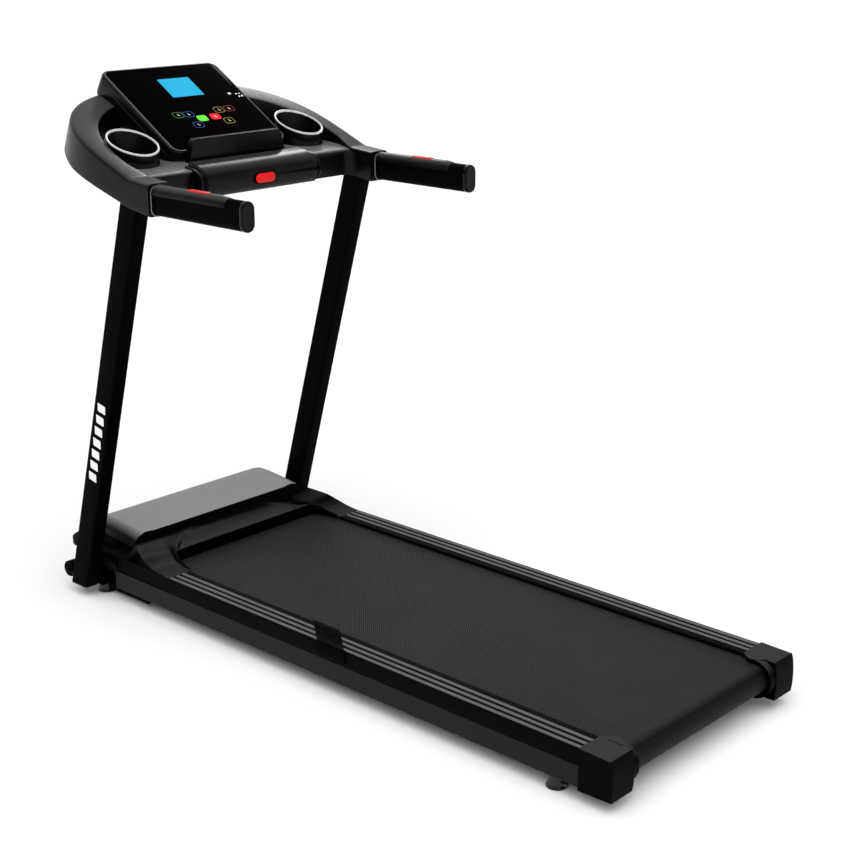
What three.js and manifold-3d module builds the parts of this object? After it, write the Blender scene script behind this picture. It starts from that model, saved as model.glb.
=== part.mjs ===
// Folding home treadmill. Millimetres, +X to the user's right, +Y forward, +Z up, floor at z = 0.
// The drawing frame has y = 0 at the rear face of the deck's end caps; the exported group is
// shifted so that its origin is at the bottom centre of the whole machine.
import * as THREE from 'three';
import { mergeVertices } from 'three/addons/utils/BufferGeometryUtils.js';
import Module from 'manifold-3d';

const wasm = await Module();
wasm.setup();

// ---------------------------------------------------------------- driving dimensions
const GAP = 0.3;                    // running gap between neighbouring pieces
const SIDES = [['left', -1], ['right', 1]];

// Deck
const DECK_HALF = 270;              // half width over the side rails
const RAIL_START = 64;
const RAIL_END = 1090.5;
const RAIL_TOP = 95.5;
const RAIL_INNER = 211.6;
const RAIL_SKIRT_BOTTOM = 66.4;
const RAIL_RIBS = [[5, 13], [20, 28], [35, 43]];   // distances from the rail's outer face
const TUBE = { inner: 240, bottom: 28.8, top: 66, front: 1262, rear: 22, wall: 2, solidFrom: 1200 };
const CROSS_MEMBERS = { stations: [200, 520, 840, 1110], half: 15, bottom: 51, wall: 2 };
const BELT_HALF = 215;
const BELT_THICKNESS = 2;
const BELT_TOP = 88;
const BOARD = { half: 236, bottom: 66.4, top: 85.6, rear: 66, front: 1152 };
const ROLLER_RADIUS = 25;
const ROLLER_Z = BELT_TOP - BELT_THICKNESS - ROLLER_RADIUS;
const REAR_ROLLER_Y = 33;
const FRONT_ROLLER_Y = 1185;
const ROLLER_HALF = 218;
const ROLLER_WALL = 3;
const ROLLER_END = 12;                // thickness of the discs that close a roller's ends
const AXLE_RADIUS = 7;
const CAP = { rear: -5, front: 63.6, bottom: 22.6, top: 98, inner: 213 };
// The end caps' guard round the belt's rear turn.
const GUARD = { edge: 197, innerRadius: 29.5, outerRadius: 36.5, earBottom: 90.5 };
const BELT_ROOM = 219.5;            // half width of the room the caps leave for belt and roller
const REAR_FOOT_Y = 122.5;
const FOOT_X = 247.5;
const FOOT_RADIUS = 19;
const CLIP = { y: 661, length: 70, rise: 3, slant: 1.22 };

// Fold pivot and base
const PIVOT = { y: 1360, z: 60 };
const CROSSBAR = { rear: 1302, front: 1342, bottom: 24, top: 44 };
const LEG = { rear: 1176, inner: 238, outer: 256, bottom: 12, top: 25 };
const HEEL = { x: 190, radius: 11 };
const EAR = { inner: 255, outer: 261 };
const HINGE_PLATE = { inner: 246, outer: 252 };
const PIVOT_RADIUS = 5;
const FRONT_FOOT_Y = 1325;
const WHEEL = { y: 1379, z: 48, radius: 17, inner: 283, outer: 303 };
const WHEEL_PLATE = { inner: 270.7, outer: 275.4, front: 1391, top: 60 };

// Upright posts, leaning toward the user
const POST = {
  inner: 275.8, outer: 307.8, rearAtFloor: 1321.2, lean: 0.2876, depth: 51.8, bottom: 28, top: 870, wall: 2,
};
const POST_CAP_BOTTOM = 22.7;

// Handles
const HANDLE = { x: 290.2, z: 859.4, height: 54.4, width: 28, rear: 787.4, front: 1048 };
const HANDLE_CAP_LENGTH = 10;
const PAD = { rear: 836, front: 1036, rise: 3 };
const HANDLE_BUTTON = { rear: 892, front: 946, width: 12, travel: 1.2 };

// Motor compartment
const HOOD = { half: 268, wall: 3, armInner: 212, mouth: 1152, lipY: 1239, lipZ: 137.5, shoulder: 100 };
const HOOD_NOSE = { y: 1436, cornerRadius: 39 };
const HOOD_UPPER = { half: 236, top: 148, cornerRadius: 30 };
// Half width of the hood above its shoulder, at stations from the arms forward.
const HOOD_PLAN = [[268, 1080], [268, 1160], [262, 1182], [251, 1210], [241, 1229], [236, 1241], [236, 1450]];
const PANEL = { rear: 1240, front: 1396, thickness: 2 };
const MOTOR = { y: 1300, z: 100, radius: 34, left: -60, right: 120 };
const MOTOR_PULLEY_RADIUS = 11;
const ROLLER_PULLEY_RADIUS = 20;
const DRIVE_BELT = { left: -230, right: -220.5, thickness: 2 };

// Gas spring beside the belt
const SPRING = { x: 228, z: 34, baseY: 1285, deckY: 800, radius: 8.5, rodRadius: 4, openEnd: 1005 };

// Console
const SHELL = { half: 311.5, armEnd: 1038, rearWall: 1097, armInner: 262, front: 1406, wall: 3 };
const TOP_TILT = Math.atan(0.404);  // slope of the console's upper rim
const TOP_AT_REAR_WALL = 896;
const PAN_HALF = 272;
const CUP = { x: 215.4, y: 1201, z: 944.8, radius: 49.3, wall: 3, floor: 872 };
const CUP_RIM = { thickness: 3, inner: 46.3, outer: 50.6 };
const DISPLAY_TILT = Math.atan2(137.9, 222.7);
const DISPLAY = { y: 1161, z: 922, half: 145.7, length: 262, glass: 3, depth: 52 };
const LCD = { left: -35, right: 45, low: 160, high: 220 };
const LEDGE = { rear: 1146, front: 1157.4, bottom: 909, top: 944, half: 118 };
const COVER_HALF = 143;
const CROSS_TUBE = { y: 1118, z: 864, radius: 12 };
const KEY = { width: 50, height: 19, z: 866, rear: 1066, front: 1080 };

const REAR_END = CAP.rear;
const CENTRE_Y = (REAR_END + HOOD_NOSE.y) / 2;

// ---------------------------------------------------------------- solids
function solid(geometry) {
  const bare = geometry.index ? geometry.toNonIndexed() : geometry.clone();
  for (const name of Object.keys(bare.attributes)) {
    if (name !== 'position') bare.deleteAttribute(name);
  }
  const merged = mergeVertices(bare, 1e-4);
  const corners = Array.from(merged.index.array);
  const kept = [];
  for (let i = 0; i < corners.length; i += 3) {
    const [a, b, c] = corners.slice(i, i + 3);
    if (a !== b && b !== c && c !== a) kept.push(a, b, c);
  }
  const points = merged.attributes.position.array;
  if (signedVolume(points, kept) < 0) {
    for (let i = 0; i < kept.length; i += 3) [kept[i], kept[i + 1]] = [kept[i + 1], kept[i]];
  }
  return new wasm.Manifold(new wasm.Mesh({
    numProp: 3,
    vertProperties: Float32Array.from(points),
    triVerts: Uint32Array.from(kept),
  }));
}

function signedVolume(points, triangles) {
  const corner = (i) => new THREE.Vector3().fromArray(points, 3 * i);
  let volume = 0;
  for (let i = 0; i < triangles.length; i += 3) {
    const [a, b, c] = [0, 1, 2].map((k) => corner(triangles[i + k]));
    volume += a.dot(b.cross(c)) / 6;
  }
  return volume;
}

const join = (first, ...others) => others.reduce((sum, other) => sum.add(other), first);
const cut = (first, ...others) => others.reduce((rest, other) => rest.subtract(other), first);
const common = (first, ...others) => others.reduce((rest, other) => rest.intersect(other), first);

// A solid grown by a small gap in every direction, for cutting a neighbour clear of it.
function grown(body, gap = GAP) {
  const steps = [[gap, 0, 0], [-gap, 0, 0], [0, gap, 0], [0, -gap, 0], [0, 0, gap], [0, 0, -gap]];
  return steps.reduce((sum, step) => sum.add(body.translate(step)), body);
}

const clear = (body, ...neighbours) => cut(body, ...neighbours.map((one) => grown(one)));

function box(x0, x1, y0, y1, z0, z1) {
  const geometry = new THREE.BoxGeometry(x1 - x0, y1 - y0, z1 - z0);
  return solid(geometry.translate((x0 + x1) / 2, (y0 + y1) / 2, (z0 + z1) / 2));
}

// A box on one side of the machine, from |x| = near to |x| = far.
function sideBox(side, near, far, y0, y1, z0, z1) {
  return box(Math.min(side * near, side * far), Math.max(side * near, side * far), y0, y1, z0, z1);
}

function shapeOf(points) {
  return new THREE.Shape(points.map(([a, b]) => new THREE.Vector2(a, b)));
}

function extrude(points, depth, curveSegments = 8) {
  const shape = points instanceof THREE.Shape ? points : shapeOf(points);
  return new THREE.ExtrudeGeometry(shape, { depth, bevelEnabled: false, steps: 1, curveSegments });
}

// Outline in (y, z), swept along X.
function alongX(points, x0, x1, segments) {
  const geometry = extrude(points, x1 - x0, segments);
  const axes = new THREE.Matrix4().set(0, 0, 1, x0, 1, 0, 0, 0, 0, 1, 0, 0, 0, 0, 0, 1);
  return solid(geometry.applyMatrix4(axes));
}

// Outline in (x, z), swept along Y.
function alongY(points, y0, y1, segments) {
  const geometry = extrude(points, y1 - y0, segments);
  const axes = new THREE.Matrix4().set(1, 0, 0, 0, 0, 0, -1, y1, 0, 1, 0, 0, 0, 0, 0, 1);
  return solid(geometry.applyMatrix4(axes));
}

// Outline in (x, y), swept along Z.
function alongZ(points, z0, z1, segments) {
  return solid(extrude(points, z1 - z0, segments).translate(0, 0, z0));
}

// Profile of [radius, station] pairs turned about an axis parallel to X, Y or Z.
function turned(profile, axis, centre, segments = 24) {
  const geometry = new THREE.LatheGeometry(profile.map(([r, t]) => new THREE.Vector2(r, t)), segments);
  if (axis === 'x') geometry.rotateZ(-Math.PI / 2);
  if (axis === 'z') geometry.rotateX(Math.PI / 2);
  return solid(geometry.translate(...centre));
}

function rod(axis, radius, from, to, centre, segments) {
  return turned([[0, from], [radius, from], [radius, to], [0, to]], axis, centre, segments);
}

function ring(axis, inner, outer, from, to, centre, segments) {
  const profile = [[inner, from], [outer, from], [outer, to], [inner, to], [inner, from]];
  return turned(profile, axis, centre, segments);
}

function roundedRectangle(width, height, radius, centreX = 0, centreY = 0) {
  const shape = new THREE.Shape();
  const [x, y] = [centreX - width / 2, centreY - height / 2];
  shape.moveTo(x + radius, y);
  shape.lineTo(x + width - radius, y);
  shape.absarc(x + width - radius, y + radius, radius, -Math.PI / 2, 0);
  shape.lineTo(x + width, y + height - radius);
  shape.absarc(x + width - radius, y + height - radius, radius, 0, Math.PI / 2);
  shape.lineTo(x + radius, y + height);
  shape.absarc(x + radius, y + height - radius, radius, Math.PI / 2, Math.PI);
  shape.lineTo(x, y + radius);
  shape.absarc(x + radius, y + radius, radius, Math.PI, 1.5 * Math.PI);
  return shape;
}

// ---------------------------------------------------------------- materials and the scene graph
const LOOKS = {
  blackPaint: { color: 0x0b0b0c, roughness: 0.45, metalness: 0.3 },
  greyPaint: { color: 0x232326, roughness: 0.4, metalness: 0.3 },
  blackPlastic: { color: 0x08080a, roughness: 0.3, metalness: 0 },
  silverPlastic: { color: 0x8e8e90, roughness: 0.45, metalness: 0.1 },
  railPlastic: { color: 0x141416, roughness: 0.5, metalness: 0 },
  beltRubber: { color: 0x2c2c2e, roughness: 0.8, metalness: 0 },
  rubber: { color: 0x0a0a0a, roughness: 0.6, metalness: 0 },
  steel: { color: 0xb8b8bc, roughness: 0.3, metalness: 1 },
  brightTrim: { color: 0xc8c8cc, roughness: 0.25, metalness: 0.8 },
  glass: { color: 0x030303, roughness: 0.05, metalness: 0 },
  lcd: { color: 0x00c0f0, roughness: 0.3, metalness: 0 },
  red: { color: 0xe01018, roughness: 0.35, metalness: 0 },
  board: { color: 0x5a4632, roughness: 0.7, metalness: 0 },
  circuit: { color: 0x1d5c34, roughness: 0.5, metalness: 0 },
};
const materials = Object.fromEntries(
  Object.entries(LOOKS).map(([name, look]) => [name, new THREE.MeshStandardMaterial(look)]),
);

const treadmill = new THREE.Group();
treadmill.position.y = -CENTRE_Y;

function add(name, body, look) {
  const mesh = body.getMesh();
  const geometry = new THREE.BufferGeometry();
  geometry.setAttribute('position', new THREE.BufferAttribute(Float32Array.from(mesh.vertProperties), 3));
  geometry.setIndex(Array.from(mesh.triVerts));
  geometry.computeVertexNormals();
  const node = new THREE.Mesh(geometry, materials[look]);
  node.name = name;
  treadmill.add(node);
}

// ---------------------------------------------------------------- base: crossbar, legs, feet, wheels
const pivotHole = (from, to) => rod('x', PIVOT_RADIUS + 0.4, from, to, [0, PIVOT.y, PIVOT.z], 16);
const wheelHole = (from, to) => rod('x', 4.4, from, to, [0, WHEEL.y, WHEEL.z], 16);

function baseFrame() {
  let frame = box(-POST.inner + GAP, POST.inner - GAP, CROSSBAR.rear, CROSSBAR.front,
    CROSSBAR.bottom, CROSSBAR.top);
  frame = join(frame, box(-LEG.inner - 1, LEG.inner + 1, LEG.rear, LEG.rear + 30, LEG.bottom, LEG.top));
  for (const [, side] of SIDES) {
    const leg = sideBox(side, LEG.inner, LEG.outer, LEG.rear, CROSSBAR.rear + 3, LEG.bottom, LEG.top + 2);
    const heel = rod('z', HEEL.radius, 0, LEG.bottom + 1, [side * HEEL.x, LEG.rear + 15, 0], 16);
    const earOutline = [
      [CROSSBAR.rear + 4, CROSSBAR.top - 2], [CROSSBAR.front + 2, PIVOT.z + 16],
      [PIVOT.y + 14, PIVOT.z + 16], [PIVOT.y + 14, PIVOT.z - 14], [CROSSBAR.front - 2, CROSSBAR.bottom + 6],
    ];
    const ear = alongX(earOutline, Math.min(side * EAR.inner, side * EAR.outer),
      Math.max(side * EAR.inner, side * EAR.outer));
    const plate = sideBox(side, WHEEL_PLATE.inner, WHEEL_PLATE.outer, CROSSBAR.front - 10,
      WHEEL_PLATE.front, CROSSBAR.bottom, WHEEL_PLATE.top);
    frame = join(frame, leg, heel, cut(ear, pivotHole(-280, 280)), plate);
  }
  const clevisOutline = [
    [CROSSBAR.rear + 2, 24], [CROSSBAR.rear + 2, 43], [SPRING.baseY - 9, 43], [SPRING.baseY - 9, 24],
  ];
  for (const offset of [-12, 9]) {
    const cheek = alongX(clevisOutline, SPRING.x + offset, SPRING.x + offset + 3);
    frame = join(frame, cut(cheek, rod('x', 4.4, 200, 260, [0, SPRING.baseY, SPRING.z], 12)));
  }
  return cut(frame, wheelHole(-280, 280));
}

const postRear = (z) => POST.rearAtFloor - POST.lean * z;

function postSection(z0, z1, inset = 0) {
  return [
    [postRear(z0) + inset, z0], [postRear(z0) + POST.depth - inset, z0],
    [postRear(z1) + POST.depth - inset, z1], [postRear(z1) + inset, z1],
  ];
}

function postBar(side, wall = 0) {
  const x0 = Math.min(side * POST.inner, side * POST.outer) + wall;
  const reach = Math.sign(wall);
  return alongX(postSection(POST.bottom - reach, POST.top + reach, wall), x0,
    x0 + POST.outer - POST.inner - 2 * wall);
}

const post = (side) => cut(postBar(side), postBar(side, POST.wall));

function postCap(side) {
  const x0 = Math.min(side * POST.inner, side * POST.outer);
  const skirt = alongX(postSection(POST_CAP_BOTTOM + 1.5, POST.bottom - GAP), x0,
    x0 + POST.outer - POST.inner);
  const sole = alongX(postSection(POST_CAP_BOTTOM, POST_CAP_BOTTOM + 2, 2), x0 + 2,
    x0 + POST.outer - POST.inner - 2);
  return join(skirt, sole);
}

function foot(side, y, top) {
  const profile = [[0, 0], [FOOT_RADIUS, 0], [FOOT_RADIUS, 2.5], [14.5, top], [0, top]];
  return turned(profile, 'z', [side * FOOT_X, y, 0]);
}

function wheel(side) {
  const [from, to] = side < 0 ? [-WHEEL.outer, -WHEEL.inner] : [WHEEL.inner, WHEEL.outer];
  const tread = WHEEL.radius;
  const profile = [
    [4.5, from], [tread - 9, from], [tread - 9, from + 2], [tread - 3, from], [tread, from + 3],
    [tread, to - 3], [tread - 3, to], [tread - 9, to - 2], [tread - 9, to], [4.5, to], [4.5, from],
  ];
  return turned(profile, 'x', [0, WHEEL.y, WHEEL.z]);
}

function wheelBolt(side) {
  const shank = rod('x', 4, Math.min(side * 269, side * 305), Math.max(side * 269, side * 305),
    [0, WHEEL.y, WHEEL.z], 12);
  const head = rod('x', 7, Math.min(side * 303.4, side * 308.5), Math.max(side * 303.4, side * 308.5),
    [0, WHEEL.y, WHEEL.z], 6);
  return join(shank, head);
}

function pivotBolt(side) {
  const shank = rod('x', PIVOT_RADIUS, Math.min(side * 242, side * 262), Math.max(side * 242, side * 262),
    [0, PIVOT.y, PIVOT.z], 16);
  const head = rod('x', 8.5, Math.min(side * 261.3, side * 264.6), Math.max(side * 261.3, side * 264.6),
    [0, PIVOT.y, PIVOT.z], 6);
  const nut = rod('x', 8.5, Math.min(side * 240, side * 245.6), Math.max(side * 240, side * 245.6),
    [0, PIVOT.y, PIVOT.z], 6);
  return join(shank, head, nut);
}

add('base_frame', baseFrame(), 'blackPaint');
for (const [name, side] of SIDES) {
  add(`${name}_post`, post(side), 'blackPaint');
  add(`${name}_post_cap`, postCap(side), 'blackPlastic');
  add(`${name}_front_foot`, foot(side, FRONT_FOOT_Y, CROSSBAR.bottom - GAP), 'rubber');
  add(`${name}_wheel`, wheel(side), 'rubber');
  add(`${name}_wheel_bolt`, wheelBolt(side), 'steel');
  add(`${name}_pivot_bolt`, pivotBolt(side), 'steel');
}

// ---------------------------------------------------------------- deck frame, board and rails
function clevis(x, y, z) {
  const cheek = (from) => box(from, from + 3, y - 25, y + 9, z - 9, z + 9);
  const web = box(x - 10, TUBE.inner + 2, y - 29, y - 24, z - 5, z + 9);
  return join(cheek(x - 10), cheek(x + 7), web);
}

function deckFrame() {
  const plateOutline = [
    [1205, 33], [1205, 63], [1246, 63], [PIVOT.y - 18, PIVOT.z + 16], [PIVOT.y + 12, PIVOT.z + 14],
    [PIVOT.y + 16, PIVOT.z - 10], [CROSSBAR.rear - 4, 52], [1250, 33],
  ];
  let frame = box(-TUBE.inner - 1, TUBE.inner + 1, 1222, 1244, 44.5, 50);
  const { stations, half, bottom, wall } = CROSS_MEMBERS;
  for (const y of stations) {
    const channel = box(-TUBE.inner - 1, TUBE.inner + 1, y - half, y + half, bottom, TUBE.top - 0.5);
    const trough = box(3 - TUBE.inner, TUBE.inner - 3, y - half + wall, y + half - wall,
      bottom - 1, TUBE.top - 0.5 - wall);
    frame = join(frame, cut(channel, trough));
  }
  for (const [, side] of SIDES) {
    const bar = sideBox(side, TUBE.inner, DECK_HALF, TUBE.rear, TUBE.front, TUBE.bottom, TUBE.top);
    const bore = sideBox(side, TUBE.inner + TUBE.wall, DECK_HALF - TUBE.wall, TUBE.rear - 1,
      TUBE.solidFrom, TUBE.bottom + TUBE.wall, TUBE.top - TUBE.wall);
    const x0 = Math.min(side * HINGE_PLATE.inner, side * HINGE_PLATE.outer);
    const plate = alongX(plateOutline, x0, x0 + HINGE_PLATE.outer - HINGE_PLATE.inner);
    frame = join(frame, cut(bar, bore), cut(plate, pivotHole(-280, 280)));
  }
  return join(frame, clevis(SPRING.x, SPRING.deckY, SPRING.z));
}

function rail(side) {
  const outline = [[DECK_HALF, RAIL_SKIRT_BOTTOM], [DECK_HALF, RAIL_TOP - 2], [DECK_HALF - 2, RAIL_TOP]];
  for (const [near, far] of RAIL_RIBS) {
    outline.push([DECK_HALF - near, RAIL_TOP], [DECK_HALF - near - 1, RAIL_TOP + 1],
      [DECK_HALF - far + 1, RAIL_TOP + 1], [DECK_HALF - far, RAIL_TOP]);
  }
  outline.push([RAIL_INNER + 2, RAIL_TOP], [RAIL_INNER, RAIL_TOP - 2], [RAIL_INNER, 89.6], [237, 89.6],
    [237, RAIL_SKIRT_BOTTOM], [240, RAIL_SKIRT_BOTTOM], [240, 91.5], [266.5, 91.5],
    [266.5, RAIL_SKIRT_BOTTOM]);
  return alongY(outline.map(([x, z]) => [side * x, z]), RAIL_START, RAIL_END);
}

// A cover over the left rail whose ends are cut on a slant.
function railClip() {
  const [outer, inner] = [DECK_HALF + 2.3, RAIL_INNER + 0.6];
  const top = RAIL_TOP + 1 + CLIP.rise;
  const outline = [
    [-outer, 74], [-outer, top - 3], [3 - outer, top], [-inner - 1.5, top], [-inner, top - 1.5],
    [-inner, RAIL_TOP + 1 + GAP], [-DECK_HALF - GAP, RAIL_TOP + 1 + GAP], [-DECK_HALF - GAP, 74],
  ];
  const reach = CLIP.length / 2 + CLIP.slant * (outer - inner) / 2;
  const endAt = (x, end) => CLIP.y + end * CLIP.length / 2 + CLIP.slant * ((outer + inner) / 2 - x);
  const slanted = alongZ([
    [-outer - 1, endAt(outer + 1, -1)], [1 - inner, endAt(inner - 1, -1)],
    [1 - inner, endAt(inner - 1, 1)], [-outer - 1, endAt(outer + 1, 1)],
  ], 70, top + 1);
  return common(alongY(outline, CLIP.y - reach, CLIP.y + reach), slanted);
}

// Wraps round the edge of the belt where it turns over the rear roller.
function beltGuard() {
  const centre = [0, REAR_ROLLER_Y, ROLLER_Z];
  const wrap = ring('x', GUARD.innerRadius, GUARD.outerRadius, GUARD.edge, BELT_ROOM, centre, 32);
  const rearHalf = box(GUARD.edge - 1, BELT_ROOM, CAP.rear, REAR_ROLLER_Y, 0, CAP.top);
  const ear = alongZ([
    [BELT_ROOM, 20], [BELT_ROOM, CAP.front], [209, 60], [GUARD.edge, 46], [GUARD.edge, 36], [206, 24],
  ], GUARD.earBottom, CAP.top);
  return join(common(wrap, rearHalf), ear);
}

function endCap(side) {
  const block = alongX([
    [CAP.front, CAP.bottom], [CAP.rear + 3, CAP.bottom], [CAP.rear + 0.6, 38], [CAP.rear, 54],
    [CAP.rear + 0.6, 72], [CAP.rear + 2.5, 88], [CAP.rear + 6, CAP.top], [CAP.front, CAP.top],
  ], CAP.inner, DECK_HALF);
  const beltRoom = join(
    rod('x', GUARD.innerRadius, GUARD.edge, BELT_ROOM, [0, REAR_ROLLER_Y, ROLLER_Z], 32),
    box(GUARD.edge, BELT_ROOM, REAR_ROLLER_Y, CAP.front + 1, ROLLER_Z - GUARD.innerRadius, GUARD.earBottom),
  );
  const tubeSlot = box(TUBE.inner - GAP, DECK_HALF + 1, TUBE.rear - GAP, CAP.front + 1,
    TUBE.bottom - GAP, TUBE.top + GAP);
  const axleRoom = rod('x', AXLE_RADIUS + GAP, 200, TUBE.inner, [0, REAR_ROLLER_Y, ROLLER_Z], 16);
  const cap = join(cut(block, beltRoom, tubeSlot, axleRoom), beltGuard());
  return side > 0 ? cap : cap.mirror([1, 0, 0]);
}

add('deck_frame', deckFrame(), 'greyPaint');
add('deck_board', box(-BOARD.half, BOARD.half, BOARD.rear, BOARD.front, BOARD.bottom, BOARD.top), 'board');
for (const [name, side] of SIDES) {
  add(`${name}_side_rail`, rail(side), 'railPlastic');
  add(`${name}_end_cap`, endCap(side), 'blackPlastic');
  add(`${name}_rear_foot`, foot(side, REAR_FOOT_Y, TUBE.bottom - GAP), 'rubber');
}
add('rail_clip', railClip(), 'blackPlastic');

// ---------------------------------------------------------------- rollers, belts and motor
// Loop around two parallel pulleys in the (y, z) plane, as a closed outline.
function loopOutline(first, second, growth, steps = 10) {
  const [dy, dz] = [second.y - first.y, second.z - first.z];
  const tilt = Math.atan2(dz, dy);
  const lead = Math.acos((first.radius - second.radius) / Math.hypot(dy, dz));
  const points = [];
  for (let i = 0; i <= steps; i++) {
    const angle = tilt + lead + (2 * Math.PI - 2 * lead) * (i / steps);
    points.push([first.y + (first.radius + growth) * Math.cos(angle),
      first.z + (first.radius + growth) * Math.sin(angle)]);
  }
  for (let i = 0; i <= steps; i++) {
    const angle = tilt - lead + 2 * lead * (i / steps);
    points.push([second.y + (second.radius + growth) * Math.cos(angle),
      second.z + (second.radius + growth) * Math.sin(angle)]);
  }
  return points;
}

function loop(first, second, thickness, x0, x1, steps) {
  const outer = alongX(loopOutline(first, second, GAP + thickness, steps), x0, x1);
  const inner = alongX(loopOutline(first, second, GAP, steps), x0 - 1, x1 + 1);
  return cut(outer, inner);
}

const rearDrum = { y: REAR_ROLLER_Y, z: ROLLER_Z, radius: ROLLER_RADIUS - GAP };
const frontDrum = { y: FRONT_ROLLER_Y, z: ROLLER_Z, radius: ROLLER_RADIUS - GAP };
add('running_belt', loop(rearDrum, frontDrum, BELT_THICKNESS, -BELT_HALF, BELT_HALF, 12), 'beltRubber');

function drum(y) {
  const [bore, outer, cavity] = [AXLE_RADIUS + GAP, ROLLER_RADIUS - GAP, ROLLER_RADIUS - ROLLER_WALL];
  const cavityEnd = ROLLER_HALF - ROLLER_END;
  return turned([
    [bore, -ROLLER_HALF], [outer, -ROLLER_HALF], [outer, ROLLER_HALF], [bore, ROLLER_HALF],
    [bore, cavityEnd], [cavity, cavityEnd], [cavity, -cavityEnd], [bore, -cavityEnd],
    [bore, -ROLLER_HALF],
  ], 'x', [0, y, ROLLER_Z], 28);
}
const axle = (y) => rod('x', AXLE_RADIUS, -TUBE.inner + GAP, TUBE.inner - GAP, [0, y, ROLLER_Z], 16);
const rollerPulley = ring('x', AXLE_RADIUS + GAP, ROLLER_PULLEY_RADIUS, DRIVE_BELT.left - 1,
  -ROLLER_HALF + 1, [0, FRONT_ROLLER_Y, ROLLER_Z], 24);
add('front_roller', join(drum(FRONT_ROLLER_Y), rollerPulley), 'steel');
add('front_roller_axle', axle(FRONT_ROLLER_Y), 'steel');
add('rear_roller', drum(REAR_ROLLER_Y), 'steel');
add('rear_roller_axle', axle(REAR_ROLLER_Y), 'steel');

const motorCentre = [0, MOTOR.y, MOTOR.z];
const motorShell = turned([
  [7, MOTOR.left], [28, MOTOR.left], [MOTOR.radius, MOTOR.left + 10], [MOTOR.radius, MOTOR.right - 14],
  [26, MOTOR.right], [0, MOTOR.right], [0, MOTOR.left + 30], [7, MOTOR.left + 30], [7, MOTOR.left],
], 'x', motorCentre, 28);
add('motor', motorShell, 'blackPaint');
add('motor_pulley', join(
  rod('x', 5, DRIVE_BELT.left - 2, MOTOR.left + 26, motorCentre, 16),
  rod('x', MOTOR_PULLEY_RADIUS, DRIVE_BELT.left - 1, DRIVE_BELT.right + 1, motorCentre, 24),
  rod('x', 26, -84, -72, motorCentre, 24),
), 'steel');
add('drive_belt', loop(
  { y: FRONT_ROLLER_Y, z: ROLLER_Z, radius: ROLLER_PULLEY_RADIUS },
  { y: MOTOR.y, z: MOTOR.z, radius: MOTOR_PULLEY_RADIUS },
  DRIVE_BELT.thickness, DRIVE_BELT.left, DRIVE_BELT.right, 12), 'rubber');

const mountFoot = box(-70, 200, 1224, 1243, 50 + GAP, 53);
const mountPlate = box(-75, 232, 1224, 1350, 52, 56);
const cradle = [-40, 80].map((x) => box(x, x + 12, MOTOR.y - 26, MOTOR.y + 26, 55, 82));
add('motor_mount', clear(join(mountFoot, mountPlate, ...cradle), motorShell), 'greyPaint');

const controllerCase = box(136, 226, 1252, 1345, 56 + GAP, 74);
const heatSink = [0, 1, 2, 3, 4].map((i) => box(142 + 17 * i, 147 + 17 * i, 1260, 1338, 73, 96));
add('controller', join(controllerCase, ...heatSink), 'circuit');

// ---------------------------------------------------------------- hood, its top panel and belly pan
function hoodOutline(inset) {
  return [
    [1091 + inset, RAIL_SKIRT_BOTTOM], [1091 + inset, 95.8 - inset], [1112, 97.5 - inset],
    [1138, 101 - inset], [1160, 107 - inset], [1180, 114.5 - inset], [1205, 122 - inset],
    [1225, 130 - inset], [HOOD.lipY, HOOD.lipZ - inset], [1300, 144.5 - inset],
    [1345, HOOD_UPPER.top - inset], [1362, HOOD_UPPER.top - inset], [1385, 138 - inset],
    [1405 - inset, 126 - inset], [1422 - inset, 111 - inset / 2], [1432 - inset, 99],
    [HOOD_NOSE.y - inset, 88], [1431 - inset, 74], [1410 - inset, 52],
    [TUBE.front + 4, 52], [TUBE.front + 4, RAIL_SKIRT_BOTTOM],
  ];
}

// The hood seen from above, below its shoulder: straight sides and rounded front corners.
function hoodSkirt(inset) {
  const [half, front, radius] = [HOOD.half - inset, HOOD_NOSE.y - inset, HOOD_NOSE.cornerRadius];
  const shape = new THREE.Shape();
  shape.moveTo(-half, 1080);
  shape.lineTo(half, 1080);
  shape.lineTo(half, front - radius);
  shape.absarc(half - radius, front - radius, radius, 0, Math.PI / 2);
  shape.lineTo(-half + radius, front);
  shape.absarc(-half + radius, front - radius, radius, Math.PI / 2, Math.PI);
  return alongZ(shape, 20, HOOD.shoulder - inset, 8);
}

// The narrower upper body, whose long edges are rolled over in front of the lip.
function hoodUpper(inset) {
  const { half, top, cornerRadius } = HOOD_UPPER;
  const right = HOOD_PLAN.map(([x, y]) => [x - inset, y]);
  const left = right.map(([x, y]) => [-x, y]).reverse();
  const plan = alongZ([...right, ...left], HOOD.shoulder - inset - 1, top + 1);
  const width = 2 * (half - inset);
  const rolled = alongY(roundedRectangle(width, 200, cornerRadius, 0, top - inset - 100),
    HOOD.lipY, 1460, 8);
  return common(plan, join(rolled, box(-300, 300, 1070, HOOD.lipY + 1, 20, 200)));
}

function hoodBlock(inset) {
  const sweep = alongX(hoodOutline(inset), -HOOD.half + inset, HOOD.half - inset);
  const scoop = alongX([
    [1080, 170], [1080, 60], [HOOD.mouth, 60], [HOOD.mouth, 110 - inset], [1190, 113 - inset],
    [1222, 121 - inset], [HOOD.lipY + inset, HOOD.lipZ + 1], [HOOD.lipY + inset, 170],
  ], -HOOD.armInner - inset, HOOD.armInner + inset);
  const sideRelief = SIDES.map(([, side]) => sideBox(side, 241, 280, TUBE.front + 1, 1450, 20, 84));
  return cut(common(sweep, join(hoodSkirt(inset), hoodUpper(inset))), scoop, ...sideRelief);
}

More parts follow.
